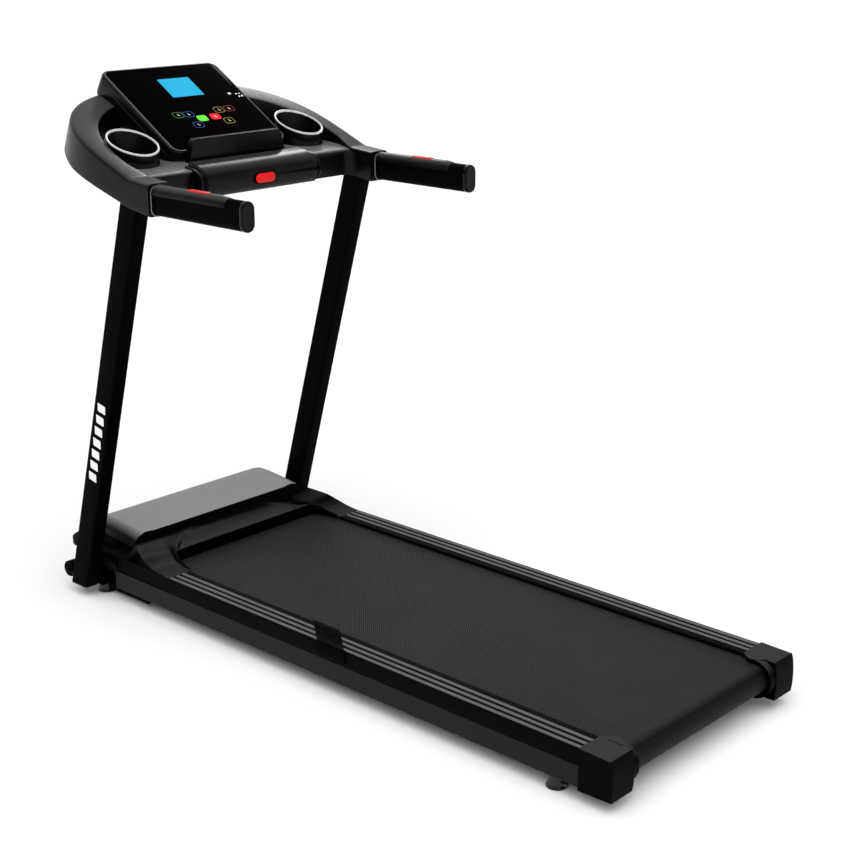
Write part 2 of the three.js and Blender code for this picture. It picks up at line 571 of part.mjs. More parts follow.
function hoodShell() {
  const inner = common(hoodBlock(HOOD.wall), box(-300, 300, 1080, 1450, 20, 300));
  const below = box(-HOOD.half + HOOD.wall, HOOD.half - HOOD.wall, 1080, TUBE.front - 2, 20, 90);
  const floor = box(-241, 241, TUBE.front - 4, 1407, 40, 53);
  return cut(hoodBlock(0), inner, below, floor);
}

const panelZone = (from, to) => box(-HOOD.half - 5, HOOD.half + 5, from, to, 96, 200);
const socketRoom = box(148, 182, 1395, 1445, 74, 102);
const switchRoom = box(110, 132, 1395, 1445, 76, 100);
const recess = cut(panelZone(PANEL.rear, PANEL.front),
  common(hoodBlock(PANEL.thickness + GAP), panelZone(PANEL.rear - 5, PANEL.front + 5)));
add('motor_hood', cut(hoodShell(), recess, socketRoom, switchRoom), 'blackPlastic');
add('hood_panel', cut(common(hoodBlock(0), panelZone(PANEL.rear + GAP, PANEL.front - GAP)),
  hoodBlock(PANEL.thickness)), 'silverPlastic');
add('belly_pan', box(-239.5, 239.5, 1245, 1406, 46.5, 49), 'blackPlastic');
add('power_inlet', cut(
  box(148 + GAP, 182 - GAP, 1400, 1430, 74 + GAP, 102 - GAP),
  box(152, 178, 1414, 1440, 78, 98),
), 'blackPlastic');
add('power_switch', box(112, 130, 1404, 1431, 78, 98), 'red');

// ---------------------------------------------------------------- gas spring
const springLine = [SPRING.x, 0, SPRING.z];
const springEye = (y) => rod('x', 7.5, -6, 6, [SPRING.x, y, SPRING.z], 16);
add('gas_spring_cylinder', join(
  turned([
    [0, SPRING.baseY - 5], [6, SPRING.baseY - 5], [SPRING.radius, SPRING.baseY - 12],
    [SPRING.radius, SPRING.openEnd + 4], [6.5, SPRING.openEnd], [4.4, SPRING.openEnd],
    [4.4, SPRING.openEnd + 120], [0, SPRING.openEnd + 120],
  ], 'y', springLine, 16),
  springEye(SPRING.baseY),
  rod('x', 4, -14, 14, [SPRING.x, SPRING.baseY, SPRING.z], 12),
), 'blackPaint');
add('gas_spring_rod', join(
  rod('y', SPRING.rodRadius, SPRING.deckY + 4, SPRING.openEnd + 100, springLine, 16),
  springEye(SPRING.deckY),
), 'steel');

// ---------------------------------------------------------------- console shell
// Half outline from the front middle round to the arm's end: a superellipse, then a straight side.
function halfOutline(half, front, sideEnd, armEnd, power, inset = 0) {
  const points = [];
  const steps = 12;
  for (let i = 0; i <= steps; i++) {
    const angle = (Math.PI / 2) * (1 - i / steps);
    points.push([(half - inset) * Math.cos(angle) ** (2 / power),
      sideEnd + (front - sideEnd - inset) * Math.sin(angle) ** (2 / power)]);
  }
  points.push([half - inset, armEnd]);
  return points;
}

function fullOutline(half) {
  const mirrored = half.filter(([x]) => x > 1e-6).map(([x, y]) => [-x, y]).reverse();
  return [...mirrored, ...half];
}

const tiltedPoint = ([x, y]) => [x, (y - SHELL.rearWall) / Math.cos(TOP_TILT)];

function tiltedPrism(inset) {
  const outline = halfOutline(SHELL.half, SHELL.front, 1150, SHELL.armEnd - 40, 2.75, inset);
  const geometry = extrude(fullOutline(outline).map(tiltedPoint), 200).translate(0, 0, -150);
  return solid(geometry.rotateX(TOP_TILT).translate(0, SHELL.rearWall, TOP_AT_REAR_WALL));
}

const bottomLine = (lift) => [
  [1432, 955 + lift], [1280, 894 + lift], [SHELL.rearWall, 840 + lift], [SHELL.armEnd, 831 + lift],
];

function shellSection(drop, lift) {
  return [
    [SHELL.armEnd + drop, 831 + lift], [SHELL.armEnd + drop, 891 - drop],
    [SHELL.rearWall, TOP_AT_REAR_WALL - drop], [1460, TOP_AT_REAR_WALL + 363 * Math.tan(TOP_TILT) - drop],
    [1460, 955 + lift], ...bottomLine(lift),
  ];
}

const panLine = (drop) => [
  [1050, 893 - drop], [SHELL.rearWall, 893 - drop], [1240, 907 - drop], [1362, 958 - drop],
];

function opening(inset) {
  const half = SHELL.armInner + inset;
  const back = SHELL.rearWall + inset;
  const radius = 22;
  const shape = new THREE.Shape();
  shape.moveTo(-half, 1000);
  shape.lineTo(half, 1000);
  shape.lineTo(half, back - radius);
  shape.absarc(half - radius, back - radius, radius, 0, Math.PI / 2);
  shape.lineTo(-half + radius, back);
  shape.absarc(-half + radius, back - radius, radius, Math.PI / 2, Math.PI);
  return alongZ(shape, 780, 1100, 6);
}

function panRecess() {
  const outline = halfOutline(PAN_HALF, 1363, 1170, SHELL.rearWall + 4, 2.4);
  const lipToRear = box(-SHELL.armInner, SHELL.armInner, SHELL.rearWall - 5, SHELL.rearWall + 6, 800, 1200);
  const plan = join(alongZ(fullOutline(outline), 800, 1200), lipToRear);
  return common(plan, alongX([...panLine(0), [1450, 995], [1450, 1200], [1050, 1200]], -300, 300));
}

function consoleVoid() {
  const roof = [
    [1457, 894 + 3 + 177 * 0.404], [1457, 700], [SHELL.armEnd + SHELL.wall, 700],
    [SHELL.armEnd + SHELL.wall, 886], [SHELL.rearWall, 889.8], [1240, 903.8], [1362, 954.8], [1420, 960],
  ];
  return cut(common(tiltedPrism(SHELL.wall), alongX(roof, -320, 320)), opening(SHELL.wall));
}

const cupHole = (side) => rod('z', CUP.radius + 0.6, 800, 1100, [side * CUP.x, CUP.y, 0], 32);
const ovalOutline = (grow) => roundedRectangle(HANDLE.width + 2 * grow, HANDLE.height + 2 * grow,
  HANDLE.width / 2 + grow - 0.01, 0, HANDLE.z);
const handleHole = (side) => alongY(ovalOutline(GAP), 1000, HANDLE.front + GAP, 8)
  .translate([side * HANDLE.x, 0, 0]);
const posts = SIDES.map(([, side]) => postBar(side));

const shellBlock = cut(common(tiltedPrism(0), alongX(shellSection(0, 0), -330, 330)),
  opening(0), panRecess());
const openings = SIDES.flatMap(([, side]) => [cupHole(side), handleHole(side)]);
add('console_shell', clear(cut(shellBlock, consoleVoid(), ...openings), ...posts), 'blackPlastic');

const crossTube = rod('x', CROSS_TUBE.radius, -POST.inner + GAP, POST.inner - GAP,
  [0, CROSS_TUBE.y, CROSS_TUBE.z], 20);
function underside() {
  const sheet = alongX([
    [SHELL.armEnd + 3.4, 831], [SHELL.armEnd + 3.4, 833.6], ...bottomLine(2.8).reverse().slice(1, 3),
    [1410, 949], [1410, 946], ...bottomLine(0).slice(1, 3),
  ], -330, 330);
  const plate = cut(common(sheet, tiltedPrism(SHELL.wall + GAP)), opening(SHELL.wall + GAP));
  return clear(cut(plate, ...openings), ...posts, crossTube);
}
add('console_underside', underside(), 'blackPlastic');
add('crossbar_tube', crossTube, 'blackPaint');

// ---------------------------------------------------------------- cup holders
// A slab parallel to the cup rims, from `low` to `high` above the rim plane.
function rimSlab(side, low, high) {
  const geometry = new THREE.BoxGeometry(160, 200, high - low).translate(0, 0, (low + high) / 2);
  return solid(geometry.rotateX(TOP_TILT).translate(side * CUP.x, CUP.y, CUP.z));
}

for (const [name, side] of SIDES) {
  const centre = [side * CUP.x, CUP.y, 0];
  const well = cut(rod('z', CUP.radius, CUP.floor, 1000, centre, 32),
    rod('z', CUP.radius - CUP.wall, CUP.floor + CUP.wall, 1010, centre, 32));
  add(`${name}_cup_holder`, common(well, rimSlab(side, -120, -CUP_RIM.thickness)), 'blackPlastic');
  const rim = ring('z', CUP_RIM.inner, CUP_RIM.outer, 880, 1000, centre, 32);
  add(`${name}_cup_rim`, common(rim, rimSlab(side, -CUP_RIM.thickness + GAP, 0)), 'brightTrim');
}

// ---------------------------------------------------------------- display
// Display frame: u runs up the glass, w is its outward normal, both from the middle of the lower edge.
function onDisplay(geometry) {
  return solid(geometry.rotateX(DISPLAY_TILT).translate(0, DISPLAY.y, DISPLAY.z));
}
function displayPlate(halfWidth, low, high, radius, from, to) {
  const outline = roundedRectangle(2 * halfWidth, high - low, radius, 0, (low + high) / 2);
  return onDisplay(extrude(outline, to - from, 6).translate(0, 0, from));
}

const lcdWindow = (grow) => onDisplay(new THREE.BoxGeometry(
  LCD.right - LCD.left + 2 * grow, LCD.high - LCD.low + 2 * grow, 30,
).translate((LCD.left + LCD.right) / 2, (LCD.low + LCD.high) / 2, 0));

function displayHousing() {
  const block = displayPlate(DISPLAY.half + 3, -3, DISPLAY.length + 4, 22, -DISPLAY.depth,
    -DISPLAY.glass - GAP);
  const limits = box(-200, 200, LEDGE.front + GAP, 1424, 880, 1100);
  const panel = box(-200, 200, 1100, 1500, 700, 893);
  const room = join(shellBlock, shellBlock.translate([0, 0, -30]), panel);
  return clear(common(block, limits), room);
}
add('display_housing', cut(displayHousing(), common(lcdWindow(GAP), displayPlate(200, 0, 260, 5, -6, 1))),
  'blackPlastic');
add('display_glass', cut(common(displayPlate(DISPLAY.half, 0, DISPLAY.length, 18, -DISPLAY.glass, 0),
  box(-200, 200, LEDGE.front + GAP, 1500, 800, 1200)), lcdWindow(GAP)), 'glass');
add('lcd_panel', common(lcdWindow(0), displayPlate(200, 0, 260, 5, -5.4, -0.4)), 'lcd');
add('display_ledge', box(-LEDGE.half, LEDGE.half, LEDGE.rear, LEDGE.front, LEDGE.bottom, LEDGE.top),
  'blackPlastic');

// ---------------------------------------------------------------- crossbar cover and safety key
const keyBody = (grow, rear, front) => alongY(roundedRectangle(KEY.width + 2 * grow,
  KEY.height + 2 * grow, KEY.height / 2 + grow - 0.01, 0, KEY.z), rear, front, 6);
const coverOutline = [
  [1096.6, 839.5], [1078, 842], [1071, 851], [1068, 866], [1072.5, 881], [1083, 892.5], [1100, 900.5],
  [1127, 905], [1127, 900], [1100, 893.4], [1096.6, 893.4],
];
add('crossbar_cover', clear(cut(alongX(coverOutline, -COVER_HALF, COVER_HALF),
  keyBody(0.6, 1000, KEY.front + GAP)), shellBlock), 'blackPlastic');
add('safety_key', keyBody(0, KEY.rear, KEY.front), 'red');

// ---------------------------------------------------------------- handles
for (const [name, side] of SIDES) {
  const at = (body) => body.translate([side * HANDLE.x, 0, 0]);
  const tubeRear = HANDLE.rear + HANDLE_CAP_LENGTH + GAP;
  const tube = at(alongY(ovalOutline(0), tubeRear, HANDLE.front, 8));
  const bore = at(alongY(ovalOutline(-2.5), tubeRear - 1, HANDLE.front - 4, 8));
  add(`${name}_handle_tube`, cut(tube, bore), 'blackPaint');
  const capBody = join(
    at(alongY(ovalOutline(0.4), HANDLE.rear + 3, HANDLE.rear + HANDLE_CAP_LENGTH, 8)),
    at(alongY(ovalOutline(-2), HANDLE.rear, HANDLE.rear + 4, 8)),
  );
  add(`${name}_handle_cap`, capBody, 'blackPlastic');

  const top = HANDLE.z + HANDLE.height / 2;
  const skin = at(alongY(ovalOutline(PAD.rise - 0.6), PAD.rear, PAD.front, 8));
  const room = at(alongY(ovalOutline(GAP), PAD.rear - 1, PAD.front + 1, 8));
  const half = HANDLE_BUTTON.width / 2;
  const buttonRoom = box(side * HANDLE.x - half - 0.6, side * HANDLE.x + half + 0.6,
    HANDLE_BUTTON.rear - 0.6, HANDLE_BUTTON.front + 0.6, top - 8, top + 10);
  const pad = common(cut(skin, room, buttonRoom), box(-400, 400, 0, 2000, top - 9, top + 20));
  add(`${name}_handle_pad`, pad, 'blackPlastic');
  const button = box(side * HANDLE.x - half, side * HANDLE.x + half, HANDLE_BUTTON.rear,
    HANDLE_BUTTON.front, top + GAP + HANDLE_BUTTON.travel, top + PAD.rise + 0.8);
  add(`${name}_handle_button`, button, 'red');
}

export default treadmill;
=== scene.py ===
"""Folding treadmill: camera, floor, light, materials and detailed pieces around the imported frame.

Pieces are drawn in millimetres in the CAD's drawing frame (y = 0 near the rear end caps) and shifted
to the row frame when they are made.
"""
from math import atan2, cos, pi, radians, sin, sqrt

import bmesh
import bpy
import numpy as np
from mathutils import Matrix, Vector


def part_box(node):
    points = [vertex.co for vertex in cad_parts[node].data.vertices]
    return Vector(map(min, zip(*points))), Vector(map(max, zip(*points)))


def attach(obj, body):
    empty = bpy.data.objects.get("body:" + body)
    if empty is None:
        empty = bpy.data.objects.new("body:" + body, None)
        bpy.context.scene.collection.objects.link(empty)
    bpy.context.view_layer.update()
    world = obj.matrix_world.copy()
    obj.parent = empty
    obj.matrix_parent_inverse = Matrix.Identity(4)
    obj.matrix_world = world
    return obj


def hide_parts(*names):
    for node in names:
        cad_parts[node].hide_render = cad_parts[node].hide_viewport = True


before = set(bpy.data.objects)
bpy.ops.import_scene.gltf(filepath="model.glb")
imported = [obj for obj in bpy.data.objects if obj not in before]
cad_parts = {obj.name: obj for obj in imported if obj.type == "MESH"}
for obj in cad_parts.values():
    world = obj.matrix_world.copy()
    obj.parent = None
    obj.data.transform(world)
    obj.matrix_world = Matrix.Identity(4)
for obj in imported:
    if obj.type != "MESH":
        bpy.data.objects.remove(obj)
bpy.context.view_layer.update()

MM = 0.001
REAR_FACE = -5.0
CENTRE_Y = REAR_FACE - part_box("left_end_cap")[0].y / MM
SIDES = (("left", -1), ("right", 1))


# --- materials
class Graph:
    """The node tree of a new material or world, with short ways to add to it."""

    def __init__(self, owner):
        owner.use_nodes = True
        self.owner = owner

    def feed(self, socket, value):
        """Gives a socket a number, a colour or another node's output."""
        if isinstance(value, bpy.types.NodeSocket):
            self.owner.node_tree.links.new(value, socket)
        else:
            socket.default_value = value

    def add(self, kind, inputs=None):
        node = self.owner.node_tree.nodes.new("ShaderNode" + kind)
        for name, value in (inputs or {}).items():
            self.feed(node.inputs[name], value)
        return node

    def place(self, space="Object"):
        return self.add("TexCoord").outputs[space]

    def axes(self, vector):
        """The X, Y and Z of a vector."""
        return self.add("SeparateXYZ", {"Vector": vector}).outputs

    def noise(self, scale, detail=3.0, stretch=None):
        """A noise value over the piece; stretch scales the coordinates per axis."""
        place = self.place()
        if stretch:
            place = self.add("Mapping", {"Scale": stretch, "Vector": place}).outputs["Vector"]
        return self.add("TexNoise", {"Scale": scale, "Detail": detail, "Vector": place}).outputs["Fac"]

    def ranged(self, value, low, high, start=0.3, end=0.7):
        """The value moved from the span start to end to the span low to high."""
        spans = {"Value": value, "From Min": start, "From Max": end, "To Min": low, "To Max": high}
        return self.add("MapRange", spans).outputs["Result"]

    def blended(self, factor, first, second):
        """A mix of two colours, each given as numbers or as another node's output."""
        node = self.add("Mix")
        node.data_type = "RGBA"
        for name, colour in (("A", first), ("B", second)):
            socket = next(i for i in node.inputs if i.name == name and i.type == "RGBA")
            self.feed(socket, colour if isinstance(colour, bpy.types.NodeSocket) else (*colour, 1))
        self.feed(node.inputs["Factor"], factor)
        return next(o for o in node.outputs if o.type == "RGBA")

    def calculated(self, operation, *values):
        node = self.add("Math")
        node.operation = operation
        for socket, value in zip(node.inputs, values):
            self.feed(socket, value)
        return node.outputs[0]

    def upward(self, low, high):
        """1 where the piece's own surface looks up, 0 on its walls; the mask for painted top light and
        painted shade.
        """
        return self.ranged(self.axes(self.place("Normal"))["Z"], 0.0, 1.0, low, high)

    def surface(self, inputs, height=None, relief=0.0):
        """Sets the shader's sockets and the depth of its surface grain, and gives the material."""
        shader = self.owner.node_tree.nodes["Principled BSDF"]
        if height is not None:
            bump = self.add("Bump", {"Strength": 1.0, "Distance": relief, "Height": height})
            self.feed(shader.inputs["Normal"], bump.outputs["Normal"])
        for name, value in inputs.items():
            self.feed(shader.inputs[name], value)
        return self.owner


def material_graph(name):
    return Graph(bpy.data.materials.new(name))


def finish(name, colour, rough, metal=0.0, specular=0.5, tone=0.12, spread=0.05,
           grain=900.0, relief=0.00003, stretch=None, painted_top_light=None, level=(0.45, 0.95)):
    """Paint or moulded plastic: slow tone drift, uneven gloss and a fine surface grain.

    Faces that look up can be painted a lighter colour than the walls: painted top light and painted sheen.
    """
    graph = material_graph(name)
    drift = graph.ranged(graph.noise(9.0), 0.0, 1.0)
    tint = graph.blended(drift, [c * (1 - tone) for c in colour], [c * (1 + tone) for c in colour])
    # Painted top light: upward faces are blended towards a lighter colour than the walls.
    if painted_top_light:
        tint = graph.blended(graph.upward(*level), tint, painted_top_light)
    gloss = graph.ranged(graph.noise(60.0, 4.0, stretch), rough - spread, rough + spread)
    sockets = {"Base Color": tint, "Roughness": gloss, "Metallic": metal, "Specular IOR Level": specular}
    return graph.surface(sockets, graph.noise(grain, 2.0, stretch), relief)


def belt_finish(name):
    """Woven running belt: a fine raised diamond knurl, crossing at 45 degrees."""
    graph = material_graph(name)
    at = graph.axes(graph.place())
    pitch = 0.0037
    turn = 2 * pi / pitch / sqrt(2)
    run = graph.calculated("ADD", at["Y"], at["Z"])
    waves = []
    for operation in ("ADD", "SUBTRACT"):
        along = graph.calculated(operation, at["X"], run)
        wave = graph.calculated("SINE", graph.calculated("MULTIPLY", along, turn))
        waves.append(graph.calculated("MULTIPLY_ADD", wave, 0.5, 0.5))
    knurl = graph.calculated("MULTIPLY", *waves)
    tint = graph.calculated("ADD", graph.calculated("MULTIPLY", knurl, 1.3),
                            graph.calculated("MULTIPLY", graph.noise(7.0), 0.25))
    weave = graph.blended(tint, (0.005, 0.005, 0.0052), (0.040, 0.040, 0.041))
    # Painted shade: where the belt turns round the drums and looks away from the light, the weave is painted
    # a plain darker colour.
    cover = graph.blended(graph.upward(0.8, 0.98), (0.0035, 0.0035, 0.0036), weave)
    height = graph.calculated("ADD", knurl, graph.calculated("MULTIPLY", graph.noise(2500.0), 0.15))
    return graph.surface({"Base Color": cover, "Roughness": graph.ranged(knurl, 0.62, 0.5, 0.0, 1.0),
                          "Specular IOR Level": 0.1}, height, 0.00025)


def silver_finish(name):
    """Satin silver lacquer that stops down the rolled sides, with a soft fade to black there that is painted
    shade on the roll.
    """
    graph = material_graph(name)
    side = graph.calculated("ABSOLUTE", graph.axes(graph.place())["X"])
    # The silver stops on the roll; its soft fade into black is painted shade where the roll turns away from
    # the light.
    silver_end_and_painted_shade = graph.ranged(side, 0.0, 1.0, 0.208, 0.231)
    flake = graph.ranged(graph.noise(2600.0), 0.0, 0.035)
    tint = graph.blended(graph.calculated("MAXIMUM", silver_end_and_painted_shade, flake), (0.275, 0.275, 0.278),
                         (0.0012, 0.0012, 0.0012))
    return graph.surface({"Base Color": tint, "Roughness": graph.ranged(graph.noise(40.0), 0.5, 0.54),
                          "Specular IOR Level": 0.15}, graph.noise(1800.0), 0.00001)


def wood_finish(name):
    """Edge and faces of the fibre deck board."""
    graph = material_graph(name)
    fibre = graph.noise(30.0, 8.0, (14.0, 1.0, 40.0))
    tint = graph.blended(fibre, (0.20, 0.13, 0.075), (0.42, 0.30, 0.19))
    return graph.surface({"Base Color": tint, "Roughness": graph.ranged(fibre, 0.55, 0.75)}, fibre, 0.0002)


def lit_finish(name, colour, glow, body=1.0):
    """A back-lit window or legend: the colour with a faint cell pattern, giving off light."""
    graph = material_graph(name)
    cells = graph.ranged(graph.noise(500.0), 0.0, 1.0)
    dim = [c * body for c in colour]
    return graph.surface({"Base Color": graph.blended(cells, dim, [c * 0.9 for c in dim]),
                          "Emission Color": graph.blended(cells, [c * 0.97 for c in colour], colour),
                          "Emission Strength": glow, "Roughness": 0.3, "Specular IOR Level": 0.1})


# painted_top_light paints the upward faces of the black plastics lighter than their walls: painted top light
# and painted sheen.
LOOK = {
    "shell": finish("shell_plastic", (0.0016, 0.0016, 0.0017), 0.3, specular=0.12, relief=0.0,
                    painted_top_light=(0.048, 0.048, 0.049)),
    "gloss": finish("gloss_plastic", (0.0010, 0.0010, 0.0011), 0.2, specular=0.12, spread=0.03,
                    relief=0.0, painted_top_light=(0.028, 0.028, 0.029)),
    # The pan's finish is the shell's with its upward faces painted much lighter: painted light and painted
    # sheen on the pan floor.
    "pan": finish("pan_painted_light", (0.0016, 0.0016, 0.0017), 0.3, specular=0.12, relief=0.0,
                  painted_top_light=(0.13, 0.13, 0.132)),
    "apron": finish("apron_plastic", (0.0008, 0.0008, 0.0008), 0.2, specular=0.012, relief=0.0,
                    painted_top_light=(0.026, 0.026, 0.027), level=(0.955, 1.0)),
    "shade": finish("shade_plastic", (0.0008, 0.0008, 0.0008), 0.2, specular=0.012, relief=0.000005),
    "glass": finish("display_glass", (0.0012, 0.0006, 0.0006), 0.05, specular=0.008, spread=0.01,
                    relief=0.0),
    # Light grey trim, lighter than the real rim so that it stands in for the bright edge line: partly trim
    # colour, partly painted highlight.
    "bezel": finish("bezel_trim_and_painted_highlight", (0.22, 0.22, 0.225), 0.3, metal=0.3),
    "paint": finish("black_paint", (0.0010, 0.0010, 0.0011), 0.4, specular=0.01, grain=350.0,
                    relief=0.00001),
    "frame": finish("frame_paint", (0.0085, 0.0085, 0.0088), 0.5, specular=0.1, grain=500.0,
                    relief=0.00002),
    "matt": finish("black_plastic", (0.0008, 0.0008, 0.0009), 0.45, specular=0.03),
    "cap": finish("cap_plastic", (0.0012, 0.0012, 0.0013), 0.5, specular=0.02, grain=1400.0,
                  painted_top_light=(0.034, 0.034, 0.035)),
    "silver": silver_finish("silver_panel"),
    "rail": finish("rail_plastic", (0.0014, 0.0014, 0.0015), 0.5, specular=0.02, stretch=(1, 0.1, 1)),
    "rib": finish("rail_grip", (0.10, 0.10, 0.102), 0.55, specular=0.2, tone=0.1, grain=1500.0,
                  relief=0.0001, stretch=(1, 0.2, 1)),
    "belt": belt_finish("running_belt_weave"),
    "rubber": finish("black_rubber", (0.002, 0.002, 0.0021), 0.12, specular=0.4),
    "steel": finish("brushed_steel", (0.55, 0.55, 0.56), 0.3, metal=1.0, tone=0.06, grain=60.0,
                    relief=0.00002, stretch=(0.6, 30, 30)),
    "trim": finish("bright_trim", (0.72, 0.72, 0.73), 0.28, metal=0.5, tone=0.03, grain=1200.0,
                   relief=0.00001),
    "red": finish("red_plastic", (0.72, 0.004, 0.006), 0.35, specular=0.2, tone=0.05, relief=0.00001),
    "wood": wood_finish("deck_wood"),
    "circuit": finish("circuit_board", (0.02, 0.11, 0.05), 0.45, grain=250.0, relief=0.0002),
    "white_ink": finish("white_ink", (0.80, 0.80, 0.80), 0.5, specular=0.3, tone=0.02),
    "lcd": lit_finish("lcd_blue", (0.0, 0.50, 0.84), 0.86, 0.08),
}
for lit, glow_colour, strength in (
        ("legend_white", (0.8, 0.8, 0.8), 0.35), ("legend_green", (0.10, 0.66, 0.03), 0.4),
        ("legend_red", (0.86, 0.01, 0.02), 0.4), ("outline_green", (0.05, 0.20, 0.03), 0.2),
        ("outline_blue", (0.01, 0.08, 0.30), 0.2), ("outline_yellow", (0.28, 0.27, 0.02), 0.2),
        ("outline_red", (0.26, 0.02, 0.01), 0.2)):
    LOOK[lit] = lit_finish(lit, glow_colour, strength)


# --- shapes: (points, faces) in millimetres
def joined(*shapes):
    points, faces = [], []
    for some_points, some_faces in shapes:
        start = len(points)
        points += [tuple(p) for p in some_points]
        faces += [[i + start for i in face] for face in some_faces]
    return points, faces


def handed(shape, side):
    """The shape as drawn for the right side, or its mirror image for the left."""
    return shape if side > 0 else ([(-x, y, z) for x, y, z in shape[0]], [f[::-1] for f in shape[1]])


def loft(rings, capped=True):
    """A skin over closed rings with the same number of points each."""
    count = len(rings[0])
    points = [tuple(p) for one in rings for p in one]
    faces = []
    for r in range(len(rings) - 1):
        for i in range(count):
            j = (i + 1) % count
            faces.append([r * count + i, r * count + j, (r + 1) * count + j, (r + 1) * count + i])
    if capped:
        faces.append(list(range(count))[::-1])
        faces.append([(len(rings) - 1) * count + i for i in range(count)])
    return points, faces


def softened(points, radii, steps=5):
    """A closed outline, in 2D or 3D, with its corners rounded over the given distances."""
    if isinstance(radii, (int, float)):
        radii = [radii] * len(points)
    result = []
    for i, (corner, radius) in enumerate(zip(points, radii)):
        corner = np.array(corner, float)
        before = np.array(points[i - 1], float) - corner
        after = np.array(points[(i + 1) % len(points)], float) - corner
        if radius <= 0:
            result.append(tuple(corner))
            continue
        start = corner + before / np.linalg.norm(before) * min(radius, 0.49 * np.linalg.norm(before))
        end = corner + after / np.linalg.norm(after) * min(radius, 0.49 * np.linalg.norm(after))
        for k in range(steps + 1):
            t = k / steps
            result.append(tuple((1 - t) ** 2 * start + 2 * t * (1 - t) * corner + t ** 2 * end))
    return result


def placed(axis, pair, station):
    """A 2D point on the plane across an axis: (y, z) for X, (x, z) for Y, (x, y) for Z."""
    a, b = pair
    return {"x": (station, a, b), "y": (a, station, b), "z": (a, b, station)}[axis]


def prism(axis, outline, start, end):
    """A 2D outline drawn out along an axis."""
    return loft([[placed(axis, pair, at) for pair in outline] for at in (start, end)])


def lathe(axis, profile, centre, count=64):
    """Profile of (radius, station) pairs turned about an axis; it closes on itself or on the axis."""
    rings = []
    for k in range(count):
        angle = 2 * pi * k / count
        ring = []
        for radius, station in profile:
            a, b = radius * cos(angle), radius * sin(angle)
            x, y, z = placed(axis, (a, b), station)
            ring.append((x + centre[0], y + centre[1], z + centre[2]))
        rings.append(ring)
    return loft(rings + rings[:1], capped=False)


def rod(axis, radius, start, end, centre):
    """A turned bar with rounded rims."""
    edge = 0.6
    return lathe(axis, [(0, start), (radius - edge, start), (radius - 0.3 * edge, start + 0.3 * edge),
                        (radius, start + edge), (radius, end - edge), (radius - 0.3 * edge, end - 0.3 * edge),
                        (radius - edge, end), (0, end)], centre, 48)


def arc(centre, radius, start, end, count):
    """Points round a circle from one angle to another."""
    a0, b0 = centre
    return [(a0 + radius * cos(t), b0 + radius * sin(t)) for t in np.linspace(start, end, count)]


def stadium(radius, half_height):
    """Upright oval with half-round ends, centred on the origin."""
    top = arc((0, half_height - radius), radius, 0, pi, 15)
    return top + [(-x, -z) for x, z in top]


def rounded_rectangle(half_x, low, high, radius, steps=8):
    """An outline centred on x, from low to high."""
    right, upper, lower = half_x - radius, high - radius, low + radius
    outline = []
    for quarter, centre in enumerate(((right, upper), (-right, upper), (-right, lower), (right, lower))):
        outline += arc(centre, radius, quarter * pi / 2, (quarter + 1) * pi / 2, steps + 1)
    return outline


def both_sides(half):
    """Points from the middle outwards, with their mirror images before them."""
    return [(-x, *rest) for x, *rest in half[:0:-1]] + [tuple(p) for p in half]


def thick(grid, depth, outward):
    """A sheet of the given depth under a grid of points; outward tells which way its face looks."""
    grid = np.array(grid, float)
    across = np.gradient(grid, axis=1)
    along = np.gradient(grid, axis=0)
    normal = np.cross(along, across)
    normal /= np.maximum(np.linalg.norm(normal, axis=2, keepdims=True), 1e-9)
    if (normal * np.array(outward)).sum() < 0:
        normal = -normal
    rows, columns = grid.shape[:2]
    points = [tuple(p) for side in (grid, grid - depth * normal) for p in side.reshape(-1, 3)]
    under = rows * columns
    faces = []
    for r in range(rows - 1):
        for c in range(columns - 1):
            i = r * columns + c
            quad = [i, i + 1, i + columns + 1, i + columns]
            faces.append(quad)
            faces.append([j + under for j in quad[::-1]])
    rim = ([(0, c) for c in range(columns)] + [(r, columns - 1) for r in range(1, rows)]
           + [(rows - 1, c) for c in range(columns - 2, -1, -1)] + [(r, 0) for r in range(rows - 2, 0, -1)])
    for (r0, c0), (r1, c1) in zip(rim, rim[1:] + rim[:1]):
        a, b = r0 * columns + c0, r1 * columns + c1
        faces.append([b, a, a + under, b + under])
    return points, faces


def spaced(points, count):
    """The polyline resampled to a number of evenly spaced points."""
    points = np.array(points, float)
    length = np.concatenate([[0], np.cumsum(np.linalg.norm(np.diff(points, axis=0), axis=1))])
    at = np.linspace(0, length[-1], count)
    return [tuple(np.interp(s, length, points[:, k]) for k in range(points.shape[1])) for s in at]


def eased(value, low, high):
    """0 below low, 1 above high, smooth between."""
    t = min(max((value - low) / (high - low), 0.0), 1.0)
    return t * t * (3 - 2 * t)


def curve_through(points, steps=6):
    """Catmull-Rom curve through the points."""
    ghost = [2 * np.array(points[0]) - np.array(points[1]), *map(np.array, points),
             2 * np.array(points[-1]) - np.array(points[-2])]
    result = []
    for a, b, c, d in zip(ghost, ghost[1:], ghost[2:], ghost[3:]):
        for k in range(steps):
            t = k / steps
            result.append(tuple(0.5 * (2 * b + (c - a) * t + (2 * a - 5 * b + 4 * c - d) * t ** 2
                                       + (3 * b - a - 3 * c + d) * t ** 3)))
    return result + [tuple(points[-1])]


# --- pieces
def mesh_of(name, shape):
    """A clean mesh of the shape in metres, with its faces turned outwards."""
    points, faces = shape
    mesh = bpy.data.meshes.new(name)
    mesh.from_pydata([(x * MM, (y - CENTRE_Y) * MM, z * MM) for x, y, z in points], [], faces)
    work = bmesh.new()
    work.from_mesh(mesh)
    bmesh.ops.remove_doubles(work, verts=work.verts, dist=2e-6)
    bmesh.ops.dissolve_degenerate(work, edges=work.edges, dist=1e-6)
    bmesh.ops.recalc_face_normals(work, faces=work.faces)
    work.to_mesh(mesh)
    work.free()
    return mesh


